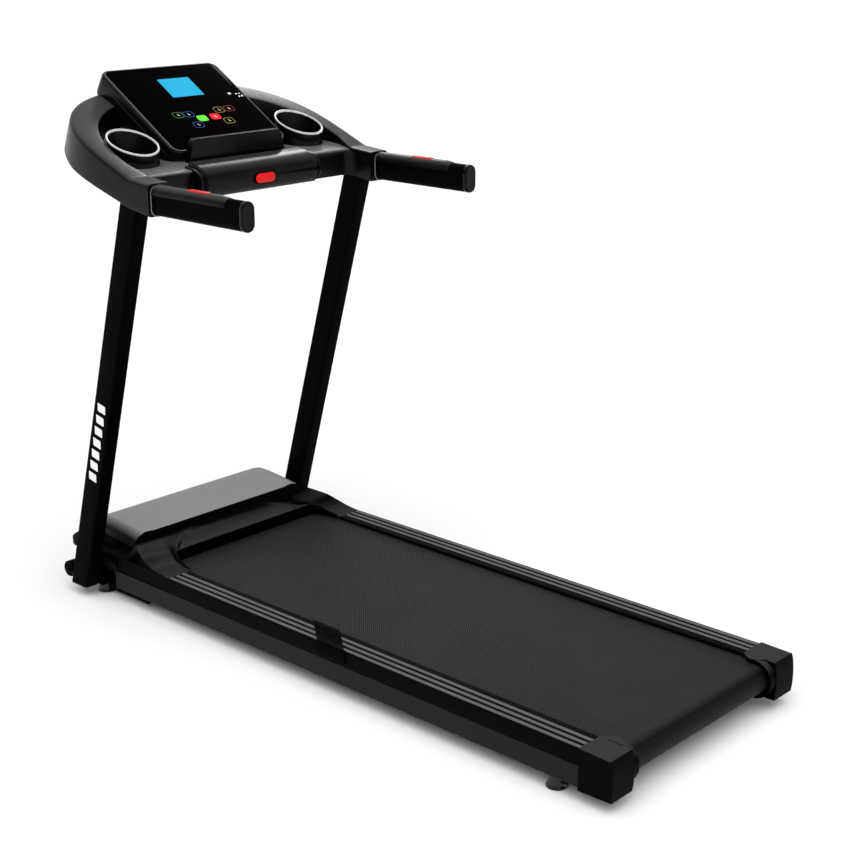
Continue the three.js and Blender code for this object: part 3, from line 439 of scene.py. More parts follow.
def in_scene(name, data):
    obj = bpy.data.objects.new(name, data)
    bpy.context.scene.collection.objects.link(obj)
    return obj


def smoothed(mesh, crease):
    """Smooth shading, but for edges sharper than the crease angle."""
    mesh.shade_smooth()
    mesh.set_sharp_from_angle(angle=radians(crease))


def rounding(obj, width, segments):
    """Rounds the edges that turn by more than 40 degrees."""
    bevel = obj.modifiers.new("edges", "BEVEL")
    bevel.width = width * MM
    bevel.segments = segments
    bevel.limit_method = "ANGLE"
    bevel.angle_limit = radians(40)
    bevel.use_clamp_overlap = True
    obj.modifiers.new("normals", "WEIGHTED_NORMAL").keep_sharp = True


CREASE = 35.0


def piece(name, shape, look, body, replaces=(), bevel=0.0, crease=CREASE, segments=3):
    """Makes an object from a shape, with rounded edges, on its body."""
    mesh = mesh_of(name, shape)
    smoothed(mesh, crease)
    mesh.materials.append(LOOK[look])
    obj = in_scene(name, mesh)
    if bevel:
        rounding(obj, bevel, segments)
    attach(obj, body)
    if replaces:
        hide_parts(*replaces)
    return obj


def cad(look, bevel, *names):
    """Keeps CAD nodes, with rounded edges and a finish."""
    for name in names:
        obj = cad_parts[name]
        obj.data.materials.clear()
        obj.data.materials.append(LOOK[look])
        obj.modifiers.new("weld", "WELD").merge_threshold = 0.00001
        obj.data.shade_smooth()
        if bevel:
            rounding(obj, bevel, 2)


# --- camera, floor and light
def lamp(name, kind, energy, heading):
    """A light of the given kind that shines along the heading."""
    light = bpy.data.lights.new(name, kind)
    light.energy = energy
    obj = in_scene(name, light)
    obj.rotation_euler = Vector(heading).to_track_quat("-Z", "Y").to_euler()
    return obj


def studio():
    camera = bpy.data.cameras.new("camera")
    camera.lens = 69.8
    camera.sensor_width = 36.0
    camera.clip_end = 200.0
    eye = in_scene("camera", camera)
    eye.location = (-2.15236, -2.0584, 1.36212)
    eye.rotation_euler = (radians(72.69), 0.0, radians(-47.29))
    bpy.context.scene.camera = eye

    reach = 60.0
    mesh = bpy.data.meshes.new("floor")
    mesh.from_pydata([(-reach, -reach, 0), (reach, -reach, 0), (reach, reach, 0), (-reach, reach, 0)],
                     [], [(0, 1, 2, 3)])
    graph = material_graph("floor")
    tone = graph.ranged(graph.noise(0.6), 0.0, 1.0)
    pale = graph.blended(tone, (0.955, 0.955, 0.955), (0.965, 0.965, 0.965))
    mesh.materials.append(graph.surface({"Base Color": pale, "Roughness": 0.9, "Specular IOR Level": 0.1}))
    in_scene("floor", mesh)

    world = bpy.data.worlds.new("studio")
    graph = Graph(world)
    sky = graph.add("ValToRGB", {"Fac": graph.axes(graph.place("Generated"))["Z"]})
    stops = sky.color_ramp.elements
    for place, tone in ((0.0, 1.0), (0.20, 1.0), (0.34, 0.6), (0.5, 0.22), (0.7, 0.10), (1.0, 0.08)):
        stop = stops.new(place) if 0.0 < place < 1.0 else stops[int(place)]
        stop.position = place
        stop.color = (tone, tone, tone, 1.0)
    graph.feed(world.node_tree.nodes["Background"].inputs["Color"], sky.outputs["Color"])
    bpy.context.scene.world = world

    overhead = lamp("overhead", "SUN", 2.7, (0.3, 0.2, -0.93))
    overhead.data.angle = radians(75)
    overhead.visible_glossy = False
    softbox = lamp("softbox", "AREA", 5.0, (-0.7, -0.53, -0.48))
    softbox.data.size = 0.5
    softbox.location = (1.15, 1.45, 1.78)
    softbox.visible_camera = False
    softbox.visible_diffuse = False
    bpy.context.scene.view_settings.view_transform = "Standard"


studio()

# --- base: posts, feet and wheels
POST_INNER, POST_OUTER, POST_DEPTH = 275.8, 307.8, 51.8
POST_TOP, POST_REAR_AT_FLOOR, POST_LEAN = 868.0, 1321.2, 0.2876
FOOT_X, FOOT_Y = 247.5, {"front": 1325.0, "rear": 122.5}
WHEEL_Y, WHEEL_Z = 1379, 48


def post_rear(z):
    return POST_REAR_AT_FLOOR - POST_LEAN * z


def post_ring(z, inset=0.0, corner=4.0):
    """The post's level section at a height."""
    rear = post_rear(z)
    outline = softened([(POST_INNER + inset, rear + inset), (POST_OUTER - inset, rear + inset),
                        (POST_OUTER - inset, rear + POST_DEPTH - inset),
                        (POST_INNER + inset, rear + POST_DEPTH - inset)], corner)
    return [(x, y, z) for x, y in outline]


def marking():
    """A plain column of slanted bars low on the left post's outer face."""
    low, high, bars, gap = 268.0, 444.0, 7, 5.0
    step = (high - low) / bars
    face = -POST_OUTER - 0.12
    shapes = []
    for k in range(bars):
        z0, z1 = low + k * step, low + (k + 1) * step - gap
        rear = post_rear((z0 + z1) / 2)
        corners = [(rear + 15, z0), (rear + 38, z0 + 5), (rear + 37, z1 + 2), (rear + 14, z1 - 3)]
        shapes.append(prism("x", softened(corners, 2.0), face, -POST_OUTER + 0.4))
    return joined(*shapes)


for label, side in SIDES:
    post = loft([post_ring(z) for z in np.linspace(28.2, POST_TOP, 12)])
    piece(f"{label}_post_tube", handed(post, side), "paint", "base", [f"{label}_post"])
    shoe = loft([post_ring(22.7, 3.0, 6.0), post_ring(23.2, 1.2, 5.0), post_ring(24.2, 0.3, 4.5),
                 post_ring(25.4, 0.0), post_ring(27.6, 0.0), post_ring(28.0, 0.4)])
    piece(f"{label}_post_shoe", handed(shoe, side), "matt", "base",
          [f"{label}_post_cap"])

    cone = [(0, 0), (17.6, 0), (18.7, 0.5), (19, 1.4), (18.9, 2.6), (18.2, 3.6), (17.2, 5.4), (15.9, 9),
            (14.9, 13)]
    for place, body in (("front", "base"), ("rear", "deck")):
        node = f"{label}_{place}_foot"
        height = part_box(node)[1].z / MM
        profile = cone + [(14.5, height - 1.2), (13.6, height - 0.2), (12.5, height), (0, height)]
        shape = lathe("z", profile, (side * FOOT_X, FOOT_Y[place], 0))
        piece(f"{label}_{place}_levelling_foot", shape, "rubber", body, [node], crease=50)

    wheel = [(4.5, 284), (9, 284), (10.5, 285.5), (13.5, 285.3), (14.4, 283.4), (15.8, 283), (16.8, 284.4),
             (17, 286.5), (17, 299.5), (16.8, 301.6), (15.8, 303), (14.4, 302.6), (13.5, 300.7),
             (10.5, 300.5), (9, 302), (4.5, 302), (4.5, 284)]
    shape = lathe("x", [(r, side * t) for r, t in wheel], (0, WHEEL_Y, WHEEL_Z))
    piece(f"{label}_transport_wheel", shape, "matt", f"{label}_wheel", [f"{label}_wheel"])

cad("steel", 0.5, "left_pivot_bolt", "right_pivot_bolt")
cad("matt", 0.8, "left_wheel_bolt", "right_wheel_bolt")
cad("paint", 1.2, "base_frame")
cad("paint", 0, "crossbar_tube")
piece("post_marking", marking(), "white_ink", "base", crease=60)

# --- deck: frame, board, belt, rollers
cad("frame", 1.5, "deck_frame")
cad("wood", 0.8, "deck_board")
cad("steel", 0, "front_roller_axle", "rear_roller_axle")
cad("paint", 1.0, "motor")
cad("frame", 0.6, "motor_mount")
cad("circuit", 0.4, "controller")
cad("rubber", 0, "drive_belt")
cad("steel", 0, "motor_pulley")
cad("matt", 0.6, "belly_pan", "power_inlet")
cad("red", 0.8, "power_switch")

BELT_HALF, DRUM_HALF = 215.0, 218.0
BELT_TOP, BELT_THICKNESS, DRUM_RADIUS = 88.0, 2.0, 25.0
DRUM_Z = BELT_TOP - BELT_THICKNESS - DRUM_RADIUS
DRUMS = {"rear_roller": 33.0, "front_roller": 1185.0}


def belt_loop():
    """The belt's flat section carried round both drums."""
    def outline(radius):
        return (arc((DRUMS["rear_roller"], DRUM_Z), radius, pi / 2, 1.5 * pi, 29)
                + arc((DRUMS["front_roller"], DRUM_Z), radius, -pi / 2, pi / 2, 29))
    rings = [[(-BELT_HALF, y_in, z_in), (-BELT_HALF, y, z), (-BELT_HALF + 0.8, y, z),
              (BELT_HALF - 0.8, y, z), (BELT_HALF, y, z), (BELT_HALF, y_in, z_in)]
             for (y, z), (y_in, z_in) in zip(outline(DRUM_RADIUS + BELT_THICKNESS), outline(DRUM_RADIUS))]
    return loft(rings + rings[:1], capped=False)


piece("belt_loop", belt_loop(), "belt", "deck", ["running_belt"], crease=50)
for node, y in DRUMS.items():
    profile = [(7.3, -DRUM_HALF), (23.4, -DRUM_HALF), (24.7, -DRUM_HALF + 1.3), (24.7, DRUM_HALF - 1.3),
               (23.4, DRUM_HALF), (7.3, DRUM_HALF), (7.3, -DRUM_HALF)]
    shape = lathe("x", profile, (0, y, DRUM_Z))
    if node == "front_roller":
        ridges = [(20 - 1.2 * (k % 2), -233.5 + k) for k in range(16)]
        grooves = [(7.3, -234), *ridges, (7.3, -217.5), (7.3, -234)]
        shape = joined(shape, lathe("x", grooves, (0, y, DRUM_Z)))
    piece(f"{node}_drum", shape, "steel", node, [node])

# --- deck: rails, caps and clip
DECK_HALF, RAIL_INNER, RAIL_TOP = 270.0, 211.6, 95.5
RAIL_START, RAIL_END = 64.0, 1090.5
RIBS, RIB_WIDTH = (5, 20, 35), 8


def side_rail():
    """The rail's section, with a groove beside each grip strip."""
    top = []
    for near in RIBS:
        for x in (DECK_HALF - near + 1.2, DECK_HALF - near - RIB_WIDTH):
            top += [(x, RAIL_TOP), (x - 0.2, RAIL_TOP - 1.6), (x - 1.0, RAIL_TOP - 1.6), (x - 1.2, RAIL_TOP)]
    corner = softened([(DECK_HALF, 66.4), (DECK_HALF, RAIL_TOP), (RAIL_INNER, RAIL_TOP), (RAIL_INNER, 89.6),
                       (237, 89.6), (237, 66.4), (240, 66.4), (240, 91.5), (266.5, 91.5), (266.5, 66.4)],
                      [0.5, 2.5, 2.5, 0.8, 1, 0.5, 0.5, 1, 1, 0.5])
    outer = [p for p in corner if p[0] > DECK_HALF - 3 and (p[0] > 266.6 or p[1] > 92)]
    return prism("y", outer + top + corner[len(outer):], RAIL_START, RAIL_END)


def rail_grip():
    """The rail's three grip strips."""
    strips = []
    for near in RIBS:
        left, right = DECK_HALF - near - RIB_WIDTH, DECK_HALF - near
        outline = softened([(left, RAIL_TOP - 1), (left + 0.3, RAIL_TOP + 1), (right - 0.3, RAIL_TOP + 1),
                            (right, RAIL_TOP - 1)], [0, 1.2, 1.2, 0])
        strips.append(prism("y", outline, RAIL_START + 0.4, RAIL_END - 0.4))
    return joined(*strips)


CAP_REAR = [(1.0, 98), (-2.5, 88), (-4.4, 72), (-5.0, 54), (-4.4, 38), (-2.0, 22.6)]
CAP_FRONT, CAP_TOP, CAP_BOTTOM = 63.6, 98, 22.6
CAP_ROOM, GUARD_RADIUS = 29.5, 36.5


def end_cap():
    """A square block on the tube's end, with a guard and an ear round the edge of the belt."""
    drum = (DRUMS["rear_roller"], DRUM_Z)
    room = arc(drum, CAP_ROOM, pi / 2, 1.5 * pi, 21)
    guard = prism("x", room + arc(drum, GUARD_RADIUS, pi / 2, 1.5 * pi, 31)[::-1], 197.4, 213.4)
    rear = softened(CAP_REAR, [2, 5, 5, 5, 5, 1.5], steps=3)
    top, bottom = (CAP_FRONT, CAP_TOP), (CAP_FRONT, CAP_BOTTOM)
    block = prism("x", [bottom, top, *rear], 219.4, 270.3)
    wall = prism("x", [(CAP_FRONT, room[0][1]), *room, (CAP_FRONT, room[-1][1]), bottom, *rear[::-1], top],
                 213, 219.8)
    ear = prism("z", softened([(214, 18), (206, 24), (197.2, 35), (197.2, 47), (208, 60), (214, 63.6)],
                              [1, 3, 5, 5, 3, 1]), 90.6, CAP_TOP)
    return joined(block, wall, guard, ear)


def roller_collar():
    """The stepped ring between the rear roller and an end cap."""
    return lathe("x", [(7.5, 215.6), (27.5, 215.6), (29, 216.4), (29, 217.6), (26.5, 218.4), (26.5, 219.6),
                       (24, 220.4), (24, 222), (7.5, 222), (7.5, 215.6)], (0, DRUMS["rear_roller"], DRUM_Z))


def cap_screw():
    return lathe("x", [(0, 269.2), (3.4, 269.2), (3.4, 269.85), (2.6, 270.0), (1.3, 270.0), (1.0, 269.4),
                       (0, 269.4)], (0, 30, 47), 24)


for label, side in SIDES:
    piece(f"{label}_rail_body", handed(side_rail(), side), "rail", "deck",
          [f"{label}_side_rail"])
    piece(f"{label}_rail_grip", handed(rail_grip(), side), "rib", "deck")
    piece(f"{label}_corner_cap", handed(end_cap(), side), "cap", "deck",
          [f"{label}_end_cap"], bevel=1.0, crease=40)
    piece(f"{label}_roller_collar", handed(roller_collar(), side), "gloss", "deck",
          crease=50)
    piece(f"{label}_cap_screw", handed(cap_screw(), side), "steel", "deck", crease=50)


CLIP_X, CLIP_Y, CLIP_LENGTH, CLIP_SLANT = -242, 661.0, 70.0, 1.22


def rail_clip():
    """A cover over the left rail with slanted ends and two slanted ridges."""
    top = RAIL_TOP + 3.6
    outline = softened([(-272.2, 74), (-272.2, top), (-212.0, top), (-212.0, RAIL_TOP + 1.2),
                        (-270.2, RAIL_TOP + 1.2), (-270.2, 74)], [0.6, 2.5, 1.2, 0.5, 0.6, 0.6])
    rings = [[(x, CLIP_Y + end * CLIP_LENGTH / 2 + CLIP_SLANT * (x - CLIP_X), z) for x, z in outline]
             for end in (-1, 1)]
    ridges = []
    for y in (627, 647):
        corners = [(-260, y), (-255, y), (-232, y + 12), (-237, y + 12)]
        ridges.append(prism("z", softened(corners, 1.2), top - 1, top + 0.3))
    return joined(loft(rings), *ridges)


piece("rail_clip_body", rail_clip(), "shade", "deck", ["rail_clip"])

# --- motor hood
HOOD_HALF, UPPER_HALF, UPPER_ROLL = 268.0, 236.0, 28.0
ARM_REAR = 1091.0
SKIRT_TOP, SKIRT_BOTTOM = 98.0, 66.6
# The apron's middle line, as (y, z).
SCOOP = [(1160, 115), (1178, 115.6), (1198, 117.8), (1213, 121.8), (1226, 127.8), (1234, 133), (1239, 137.5)]
# The edge over the belt, from the middle out along the arm's inner side and across its rear end.
MOUTH_EDGE = [(0, 1160, 115), (95, 1160, 115), (180, 1160, 115), (191, 1158.5, 114), (198, 1154, 111.5),
              (202, 1146, 108), (206, 1128, 102), (209, 1110, 98.5), (212, 1091, 95.9), (240, 1091, 95.9),
              (267, 1091, 95.9)]
# The arm's outer top edge, from its rear end round to where the lip begins.
ARM_EDGE = [(267, 1091, 95.9), (267.4, 1115, 97.6), (267.2, 1138, 101), (265.5, 1160, 106.5),
            (261, 1182, 113.3), (251.5, 1208, 119), (240.5, 1227, 124.5), (229, 1236.5, 132),
            (216, 1239, 136.6), (208, 1239, 137.5)]
CORNER_X, CORNER_Y, CORNER_RADIUS = 228.8, 1397.0, 39.0


def apron():
    """A patch spanned between the mouth, the arm's edge, the lip and the middle line."""
    rows, columns = 40, 56
    mouth = np.array(spaced(curve_through(MOUTH_EDGE[2:], 8), columns - 14))
    mouth = np.vstack([np.array(spaced(MOUTH_EDGE[:3], 15))[:-1], mouth])
    edge = np.array(spaced(curve_through(ARM_EDGE, 8), rows))
    middle = np.array([(0.0, y, z) for y, z in spaced(curve_through(SCOOP, 8), rows)])
    lip = np.linspace(middle[-1], edge[-1], columns)
    half = []
    for r in range(rows):
        t = r / (rows - 1)
        line = []
        for c in range(columns):
            f = eased(c / (columns - 1), 0.12, 1.0)
            ruled = (1 - f) * middle[r] + f * edge[r]
            rear, front = (1 - f) * mouth[0] + f * mouth[-1], (1 - f) * lip[0] + f * lip[-1]
            line.append((1 - t) * (mouth[c] - rear) + t * (lip[c] - front) + ruled)
        half.append(line)
    return thick([both_sides(line) for line in half], 2.4, (0, -0.3, 1))


def mouth_lip():
    """The edge that turns down over the belt, and the arms' inner walls."""
    path = both_sides(curve_through(MOUTH_EDGE[:-2], 6))
    top = [(x, y + 0.3, z - 0.5) for x, y, z in path]
    bottom = [(x * 1.003, y + 1.5, 91.0) for x, y, z in path]
    middle = [tuple((a + b) / 2 for a, b in zip(p, q)) for p, q in zip(top, bottom)]
    return thick([top, middle, bottom], 2.2, (0, -1, 0))


# The hood's middle line over the panel and down the nose, as (y, z).
CREST = curve_through([(1239.3, 137.6), (1270, 141.6), (1300, 144.9), (1332, 147.5), (1352, 148),
                       (1366, 146.6), (1385, 138.3), (1405, 125.6), (1420, 112.5), (1430, 100),
                       (1435.3, 88), (1430.5, 74.5), (1421, 61), (1409, 52.2)], 6)
PANEL_FRONT = 1397.0


def hood_skin(line):
    """The cross-line swept over the hood's width, rolled down at both sides."""
    line = np.array(line)
    slope = np.gradient(line, axis=0)
    slope /= np.linalg.norm(slope, axis=1, keepdims=True)
    normal = np.stack([-slope[:, 1], slope[:, 0]], axis=1)
    half = [(x, 0.0) for x in np.linspace(0, UPPER_HALF - UPPER_ROLL, 8)[:-1]]
    half += [(UPPER_HALF - UPPER_ROLL * (1 - sin(a)), UPPER_ROLL * (1 - cos(a)))
             for a in np.linspace(0, pi / 2, 13)]
    return [[(x, y - n[0] * drop, z - n[1] * drop) for x, drop in both_sides(half)]
            for (y, z), n in zip(line, normal)]


def hood_flank():
    """The outer wall from the arm's edge and the rolled panel down to the skirt."""
    rows = []
    for x, y, z in spaced(curve_through(ARM_EDGE[:-2], 8), 34):
        out = HOOD_HALF - 0.2
        brim = min(SKIRT_TOP, z - 1.2)
        rows.append([(x, y, z), (x + 0.5, y, z - 0.7), (x + 0.25 * (out - x), y, z - 0.45 * (z - brim)),
                     (x + 0.75 * (out - x), y, brim + 0.08 * (z - brim)), (out, y, brim - 1)])
    for y in np.linspace(1242, 1396, 22):
        z = np.interp(y, *np.array(CREST[:60]).T) - UPPER_ROLL + 1.5
        rows.append([(UPPER_HALF - 0.4, y, z), (UPPER_HALF + 0.2, y, z - 4), (UPPER_HALF + 4, y, 103.5),
                     (260, y, SKIRT_TOP + 0.6), (HOOD_HALF - 0.2, y, SKIRT_TOP - 1)])
    return thick(rows, 2.2, (1, 0, 0.4))


SKIRT_SPLIT = 1246.0


def arm_skirt():
    """The outer wall of the arm, flush with the side rail behind it."""
    return skirt_wall([(HOOD_HALF - 0.2, y) for y in np.linspace(ARM_REAR + 3, SKIRT_SPLIT, 18)])


def front_skirt():
    """The outer wall of the motor box, rounded round the front corner."""
    path = [(HOOD_HALF - 0.2, y) for y in np.linspace(SKIRT_SPLIT + 0.6, CORNER_Y, 14)]
    return skirt_wall(path + arc((CORNER_X, CORNER_Y), CORNER_RADIUS, 0.12, 1.45, 12))


def skirt_wall(path):
    """An upright wall along a path in plan, lower beside the arm than round the motor box."""
    rows = []
    for x, y in path:
        arm = np.interp(y, *np.array(ARM_EDGE[:5]).T[1:])
        low = SKIRT_BOTTOM if y < 1262 else 84.4
        rows.append([(x, y, min(SKIRT_TOP, arm - 1.2)), (x, y, 0.5 * (SKIRT_TOP + low) - 1), (x, y, low)])
    return thick(rows, 2.4, (1, 0.3, 0))


def hood_shoulder():
    """The level strip between the upper body and the skirt round the front corner."""
    outer = [(HOOD_HALF - 0.4, y) for y in (1388, CORNER_Y)]
    outer += arc((CORNER_X, CORNER_Y), CORNER_RADIUS - 0.2, 0.12, 1.4, 12)
    rows = [[(x, y, SKIRT_TOP - 0.6), (x - 0.5 * (x - 200), y - 3, 101.5), (205, y - 8, 102)]
            for x, y in outer]
    return thick(rows, 2.0, (0, 0, 1))


piece("hood_apron", joined(apron(), mouth_lip()), "apron", "deck", ["motor_hood"],
      crease=50)
split = next(i for i, (y, z) in enumerate(CREST) if y > PANEL_FRONT)
piece("hood_top_panel", thick(hood_skin(CREST[:split]), 2.2, (0, 0, 1)), "silver", "deck",
      ["hood_panel"], bevel=0.5)
piece("hood_nose", thick(hood_skin(CREST[split - 1:]), 2.4, (0, 1, 0.4)), "gloss", "deck")
for label, side in SIDES:
    piece(f"{label}_hood_flank", handed(hood_flank(), side), "shade", "deck",
          crease=50)
    piece(f"{label}_hood_skirt", handed(arm_skirt(), side), "rail", "deck", bevel=0.5)
    piece(f"{label}_hood_corner", handed(joined(front_skirt(), hood_shoulder()), side), "shade", "deck",
          bevel=0.5)

# --- gas spring
SPRING_X, SPRING_Z = 228.0, 34.0
cylinder = lathe("y", [(0, 1280), (5, 1280), (8.5, 1272), (8.5, 1010), (8.2, 1007), (6.5, 1005), (4.4, 1005),
                       (4.4, 1125), (0, 1125)], (SPRING_X, 0, SPRING_Z))
eye = rod("x", 7.5, -6, 6, (SPRING_X, 1285, SPRING_Z))
pin = rod("x", 4, -14, 14, (SPRING_X, 1285, SPRING_Z))
piece("spring_cylinder", joined(cylinder, eye, pin), "paint", "gas_spring_cylinder",
      ["gas_spring_cylinder"])
stem = rod("y", 4, 804, 1105, (SPRING_X, 0, SPRING_Z))
rod_eye = rod("x", 7.5, -6, 6, (SPRING_X, 800, SPRING_Z))
piece("spring_rod", joined(stem, rod_eye), "steel", "gas_spring_rod", ["gas_spring_rod"])

# --- console shell
REAR_WALL, ARM_END, SHELL_HALF, SHELL_FRONT = 1097.0, 1038.0, 311.5, 1406.0
TOP_SLOPE, TOP_AT_REAR = 0.404, 896.0
BOTTOM = np.array([(1038, 831), (1097, 840), (1280, 894), (1432, 955)])
PAN = np.array([(1050, 893), (1097, 893), (1240, 907), (1362, 958), (1400, 974)])
PAN_HALF, PAN_FRONT, PAN_HOLE, ARM_INNER = 272.0, 1363.0, 49.6, 262.0
CUP_X, CUP_Y, CUP_Z = 215.4, 1201.0, 944.8


def top_at(y):
    if y >= REAR_WALL:
        return TOP_AT_REAR + TOP_SLOPE * (y - REAR_WALL)
    return TOP_AT_REAR - 5.0 * (REAR_WALL - y) / (REAR_WALL - ARM_END)


def bottom_at(y):
    return np.interp(y, *BOTTOM.T)


def pan_at(y):
    return np.interp(y, *PAN.T)


PLAN_STATIONS, ARM_STATIONS, ARM_FRONT = 80, 22, 1150.0
ARM_YS = np.linspace(ARM_FRONT, ARM_END, ARM_STATIONS)[1:]


def superellipse(half, front, power):
    """From the front middle round to the arm's straight side."""
    points = []
    for a in np.linspace(pi / 2, 0, 600):
        c, s = max(cos(a), 0.0), max(sin(a), 0.0)
        points.append((half * c ** (2 / power), ARM_FRONT + (front - ARM_FRONT) * s ** (2 / power)))
    return spaced(points, PLAN_STATIONS)


OUTER_PLAN = superellipse(SHELL_HALF, SHELL_FRONT, 2.75) + [(SHELL_HALF, y) for y in ARM_YS]
INNER_PLAN = superellipse(PAN_HALF, PAN_FRONT, 2.4)
INNER_PLAN += [(ARM_INNER + (PAN_HALF - ARM_INNER) * eased(y, REAR_WALL, ARM_FRONT), y) for y in ARM_YS]


def shell_section(outer, inner):
    """The ring's cross-section at one station of the plan: outer wall, top band, inner wall, bottom."""
    x_out, y_out = outer
    x_in, y_in = inner
    z_out = top_at(y_out)
    lean = TOP_SLOPE * eased(y_out, ARM_END, ARM_FRONT)
    # The wall leans forward on its way down, so its height is found in steps.
    drop = 60.0
    for _ in range(8):
        drop = z_out - bottom_at(y_out + lean * drop)
    low_out = (x_out, y_out + lean * drop, z_out - drop)
    top_out, top_in = (x_out, y_out, z_out), (x_in, y_in, top_at(y_in) - 0.5)
    low_in = (x_in, y_in, bottom_at(y_in))
    middle = tuple((a + b) / 2 + lift for a, b, lift in zip(top_out, top_in, (0, 0, 0.9)))
    return softened([low_out, top_out, middle, top_in, low_in], [5.0, 9.0, 12.0, 4.0, 2.0], steps=5)


def shell_ring():
    """The horseshoe round the console, from one arm's end to the other's."""
    half = [shell_section(o, i) for o, i in zip(OUTER_PLAN, INNER_PLAN)]
    other = [[(-x, y, z) for x, y, z in ring] for ring in half[:0:-1]]
    return loft(other + half)


def plan_width(y):
    """Half width of the pan at a station, a little into the ring."""
    xs, ys = np.array(INNER_PLAN[::-1]).T
    return np.interp(y, ys, xs) + 6.0


def pan_sheet():
    """Rear wall, its rounded top edge and the sloping floor between the arms."""
    profile = [(REAR_WALL, bottom_at(REAR_WALL) + 1), (REAR_WALL, 870), (REAR_WALL, 884),
               (REAR_WALL + 0.6, 888), (REAR_WALL + 2.2, 891), (REAR_WALL + 5, 893), (REAR_WALL + 9, 893.8)]
    profile += [(y, pan_at(y) + 0.2) for y in (*np.linspace(1112, 1340, 26), 1350, 1358, 1366)]
    columns = np.linspace(-1, 1, 61)
    grid = [[(c * (plan_width(max(y, 1112)) if y > REAR_WALL + 4 else ARM_INNER + 3), y, z) for c in columns]
            for y, z in profile]
    return thick(grid, 2.6, (0, -1, 1))


def pan_cutter(side):
    """The hole for a cup holder."""
    return lathe("z", [(0, 850), (PAN_HOLE, 850), (PAN_HOLE, 1010), (0, 1010)], (side * CUP_X, CUP_Y, 0), 96)


def gusset():
    """The concave fillet between the rear wall and an arm."""
    radius = 24.0
    outline = arc((ARM_INNER - radius, REAR_WALL - radius), radius, pi / 2, 0, 16)
    outline += [(ARM_INNER + 3, REAR_WALL - radius), (ARM_INNER + 3, REAR_WALL + 4),
                (ARM_INNER - radius, REAR_WALL + 4)]
    low = [(x, y, bottom_at(y) + 0.5) for x, y in outline]
    return loft([low, [(x, y, 886.0) for x, y in outline], [(x, y + 0.3, 887.5) for x, y in outline]])


def under_sheet():
    """The console's lower face, between the arms."""
    ys = np.linspace(REAR_WALL + 2, 1372, 22)
    grid = [[(c * plan_width(max(y, 1112)), y, bottom_at(y) + 2.0) for c in np.linspace(-1, 1, 31)]
            for y in ys]
    return thick(grid, 2.4, (0, 0, -1))


def bored(obj, cutters):
    """Cuts holes through a piece and keeps the result."""
    for shape in cutters:
        tool = in_scene("cutter", mesh_of("cutter", shape))
        boolean = obj.modifiers.new("hole", "BOOLEAN")
        boolean.operation, boolean.solver, boolean.object = "DIFFERENCE", "EXACT", tool
        bpy.context.view_layer.update()
        evaluated = obj.evaluated_get(bpy.context.evaluated_depsgraph_get())
        result = bpy.data.meshes.new_from_object(evaluated)
        obj.modifiers.clear()
        obj.data = result
        bpy.data.objects.remove(tool)
    smoothed(obj.data, CREASE)


piece("console_ring", shell_ring(), "shell", "base", ["console_shell"], crease=50)
# Its finish paints the pan floor lighter than the ring: painted light.
pan = piece("console_pan", pan_sheet(), "pan", "base")
bored(pan, [pan_cutter(-1), pan_cutter(1)])
piece("console_floor", under_sheet(), "matt", "base", ["console_underside"])
for label, side in SIDES:
    piece(f"{label}_console_gusset", handed(gusset(), side), "shell", "base")

# --- cup holders
def tilted_lathe(profile, side):
    """Turned about the cup's axis; a point with follows=1 keeps to the rim plane, which slopes as the top."""
    rings = []
    for a in np.linspace(0, 2 * pi, 96, endpoint=False):
        ring = []
        for radius, height, follows in profile:
            x, y = radius * cos(a), radius * sin(a)
            z = CUP_Z + TOP_SLOPE * y + height if follows else height
            ring.append((side * CUP_X + x, CUP_Y + y, z))
        rings.append(ring)
    return loft(rings + rings[:1], capped=False)


CUP_BODY = [(0, 872, 0), (45.5, 872, 0), (48.4, 873.5, 0), (49.3, 877, 0), (49.3, -20, 1), (48.7, -19, 1),
            (48.7, -17.5, 1), (49.3, -16.5, 1), (49.3, -3.4, 1), (46.6, -3.2, 1), (46.2, 884, 0),
            (44.4, 878, 0), (38, 875.2, 0), (0, 875, 0)]
CUP_RIM = [(46.4, -3.2, 1), (46.2, -1.8, 1), (46.6, -0.8, 1), (47.6, -0.1, 1), (48.8, 0, 1), (49.8, -0.3, 1),
           (50.4, -1.1, 1), (50.6, -2.2, 1), (50.2, -3.2, 1), (46.4, -3.2, 1)]
for label, side in SIDES:
    piece(f"{label}_cup_well", tilted_lathe(CUP_BODY, side), "shell", "base",
          [f"{label}_cup_holder"], crease=50)
    piece(f"{label}_cup_ring", tilted_lathe(CUP_RIM, side), "trim", "base",
          [f"{label}_cup_rim"], crease=60)

# --- display
DISPLAY_TILT = atan2(137.9, 222.7)
DISPLAY_Y, DISPLAY_Z, GLASS_HALF, GLASS_LENGTH = 1161.0, 922.0, 145.7, 262.0


def on_display(shape):
    """From the glass's own frame (across, up the slope, out of the face) to the drawing frame."""
    level, rise = cos(DISPLAY_TILT), sin(DISPLAY_TILT)
    points = [(x, DISPLAY_Y + u * level - w * rise, DISPLAY_Z + u * rise + w * level) for x, u, w in shape[0]]
    return points, shape[1]


def plate(half, low, high, radius, start, end, edge):
    """A rounded plate on the display; its upper rim is rounded over by edge."""
    rings = [[(x, u, start) for x, u in rounded_rectangle(half, low, high, radius)]]
    for a in np.linspace(0, pi / 2, 5):
        inset = edge * (1 - cos(a))
        outline = rounded_rectangle(half - inset, low + inset, high - inset, radius - inset)
        rings.append([(x, u, end - edge + edge * sin(a)) for x, u in outline])
    return on_display(loft(rings))


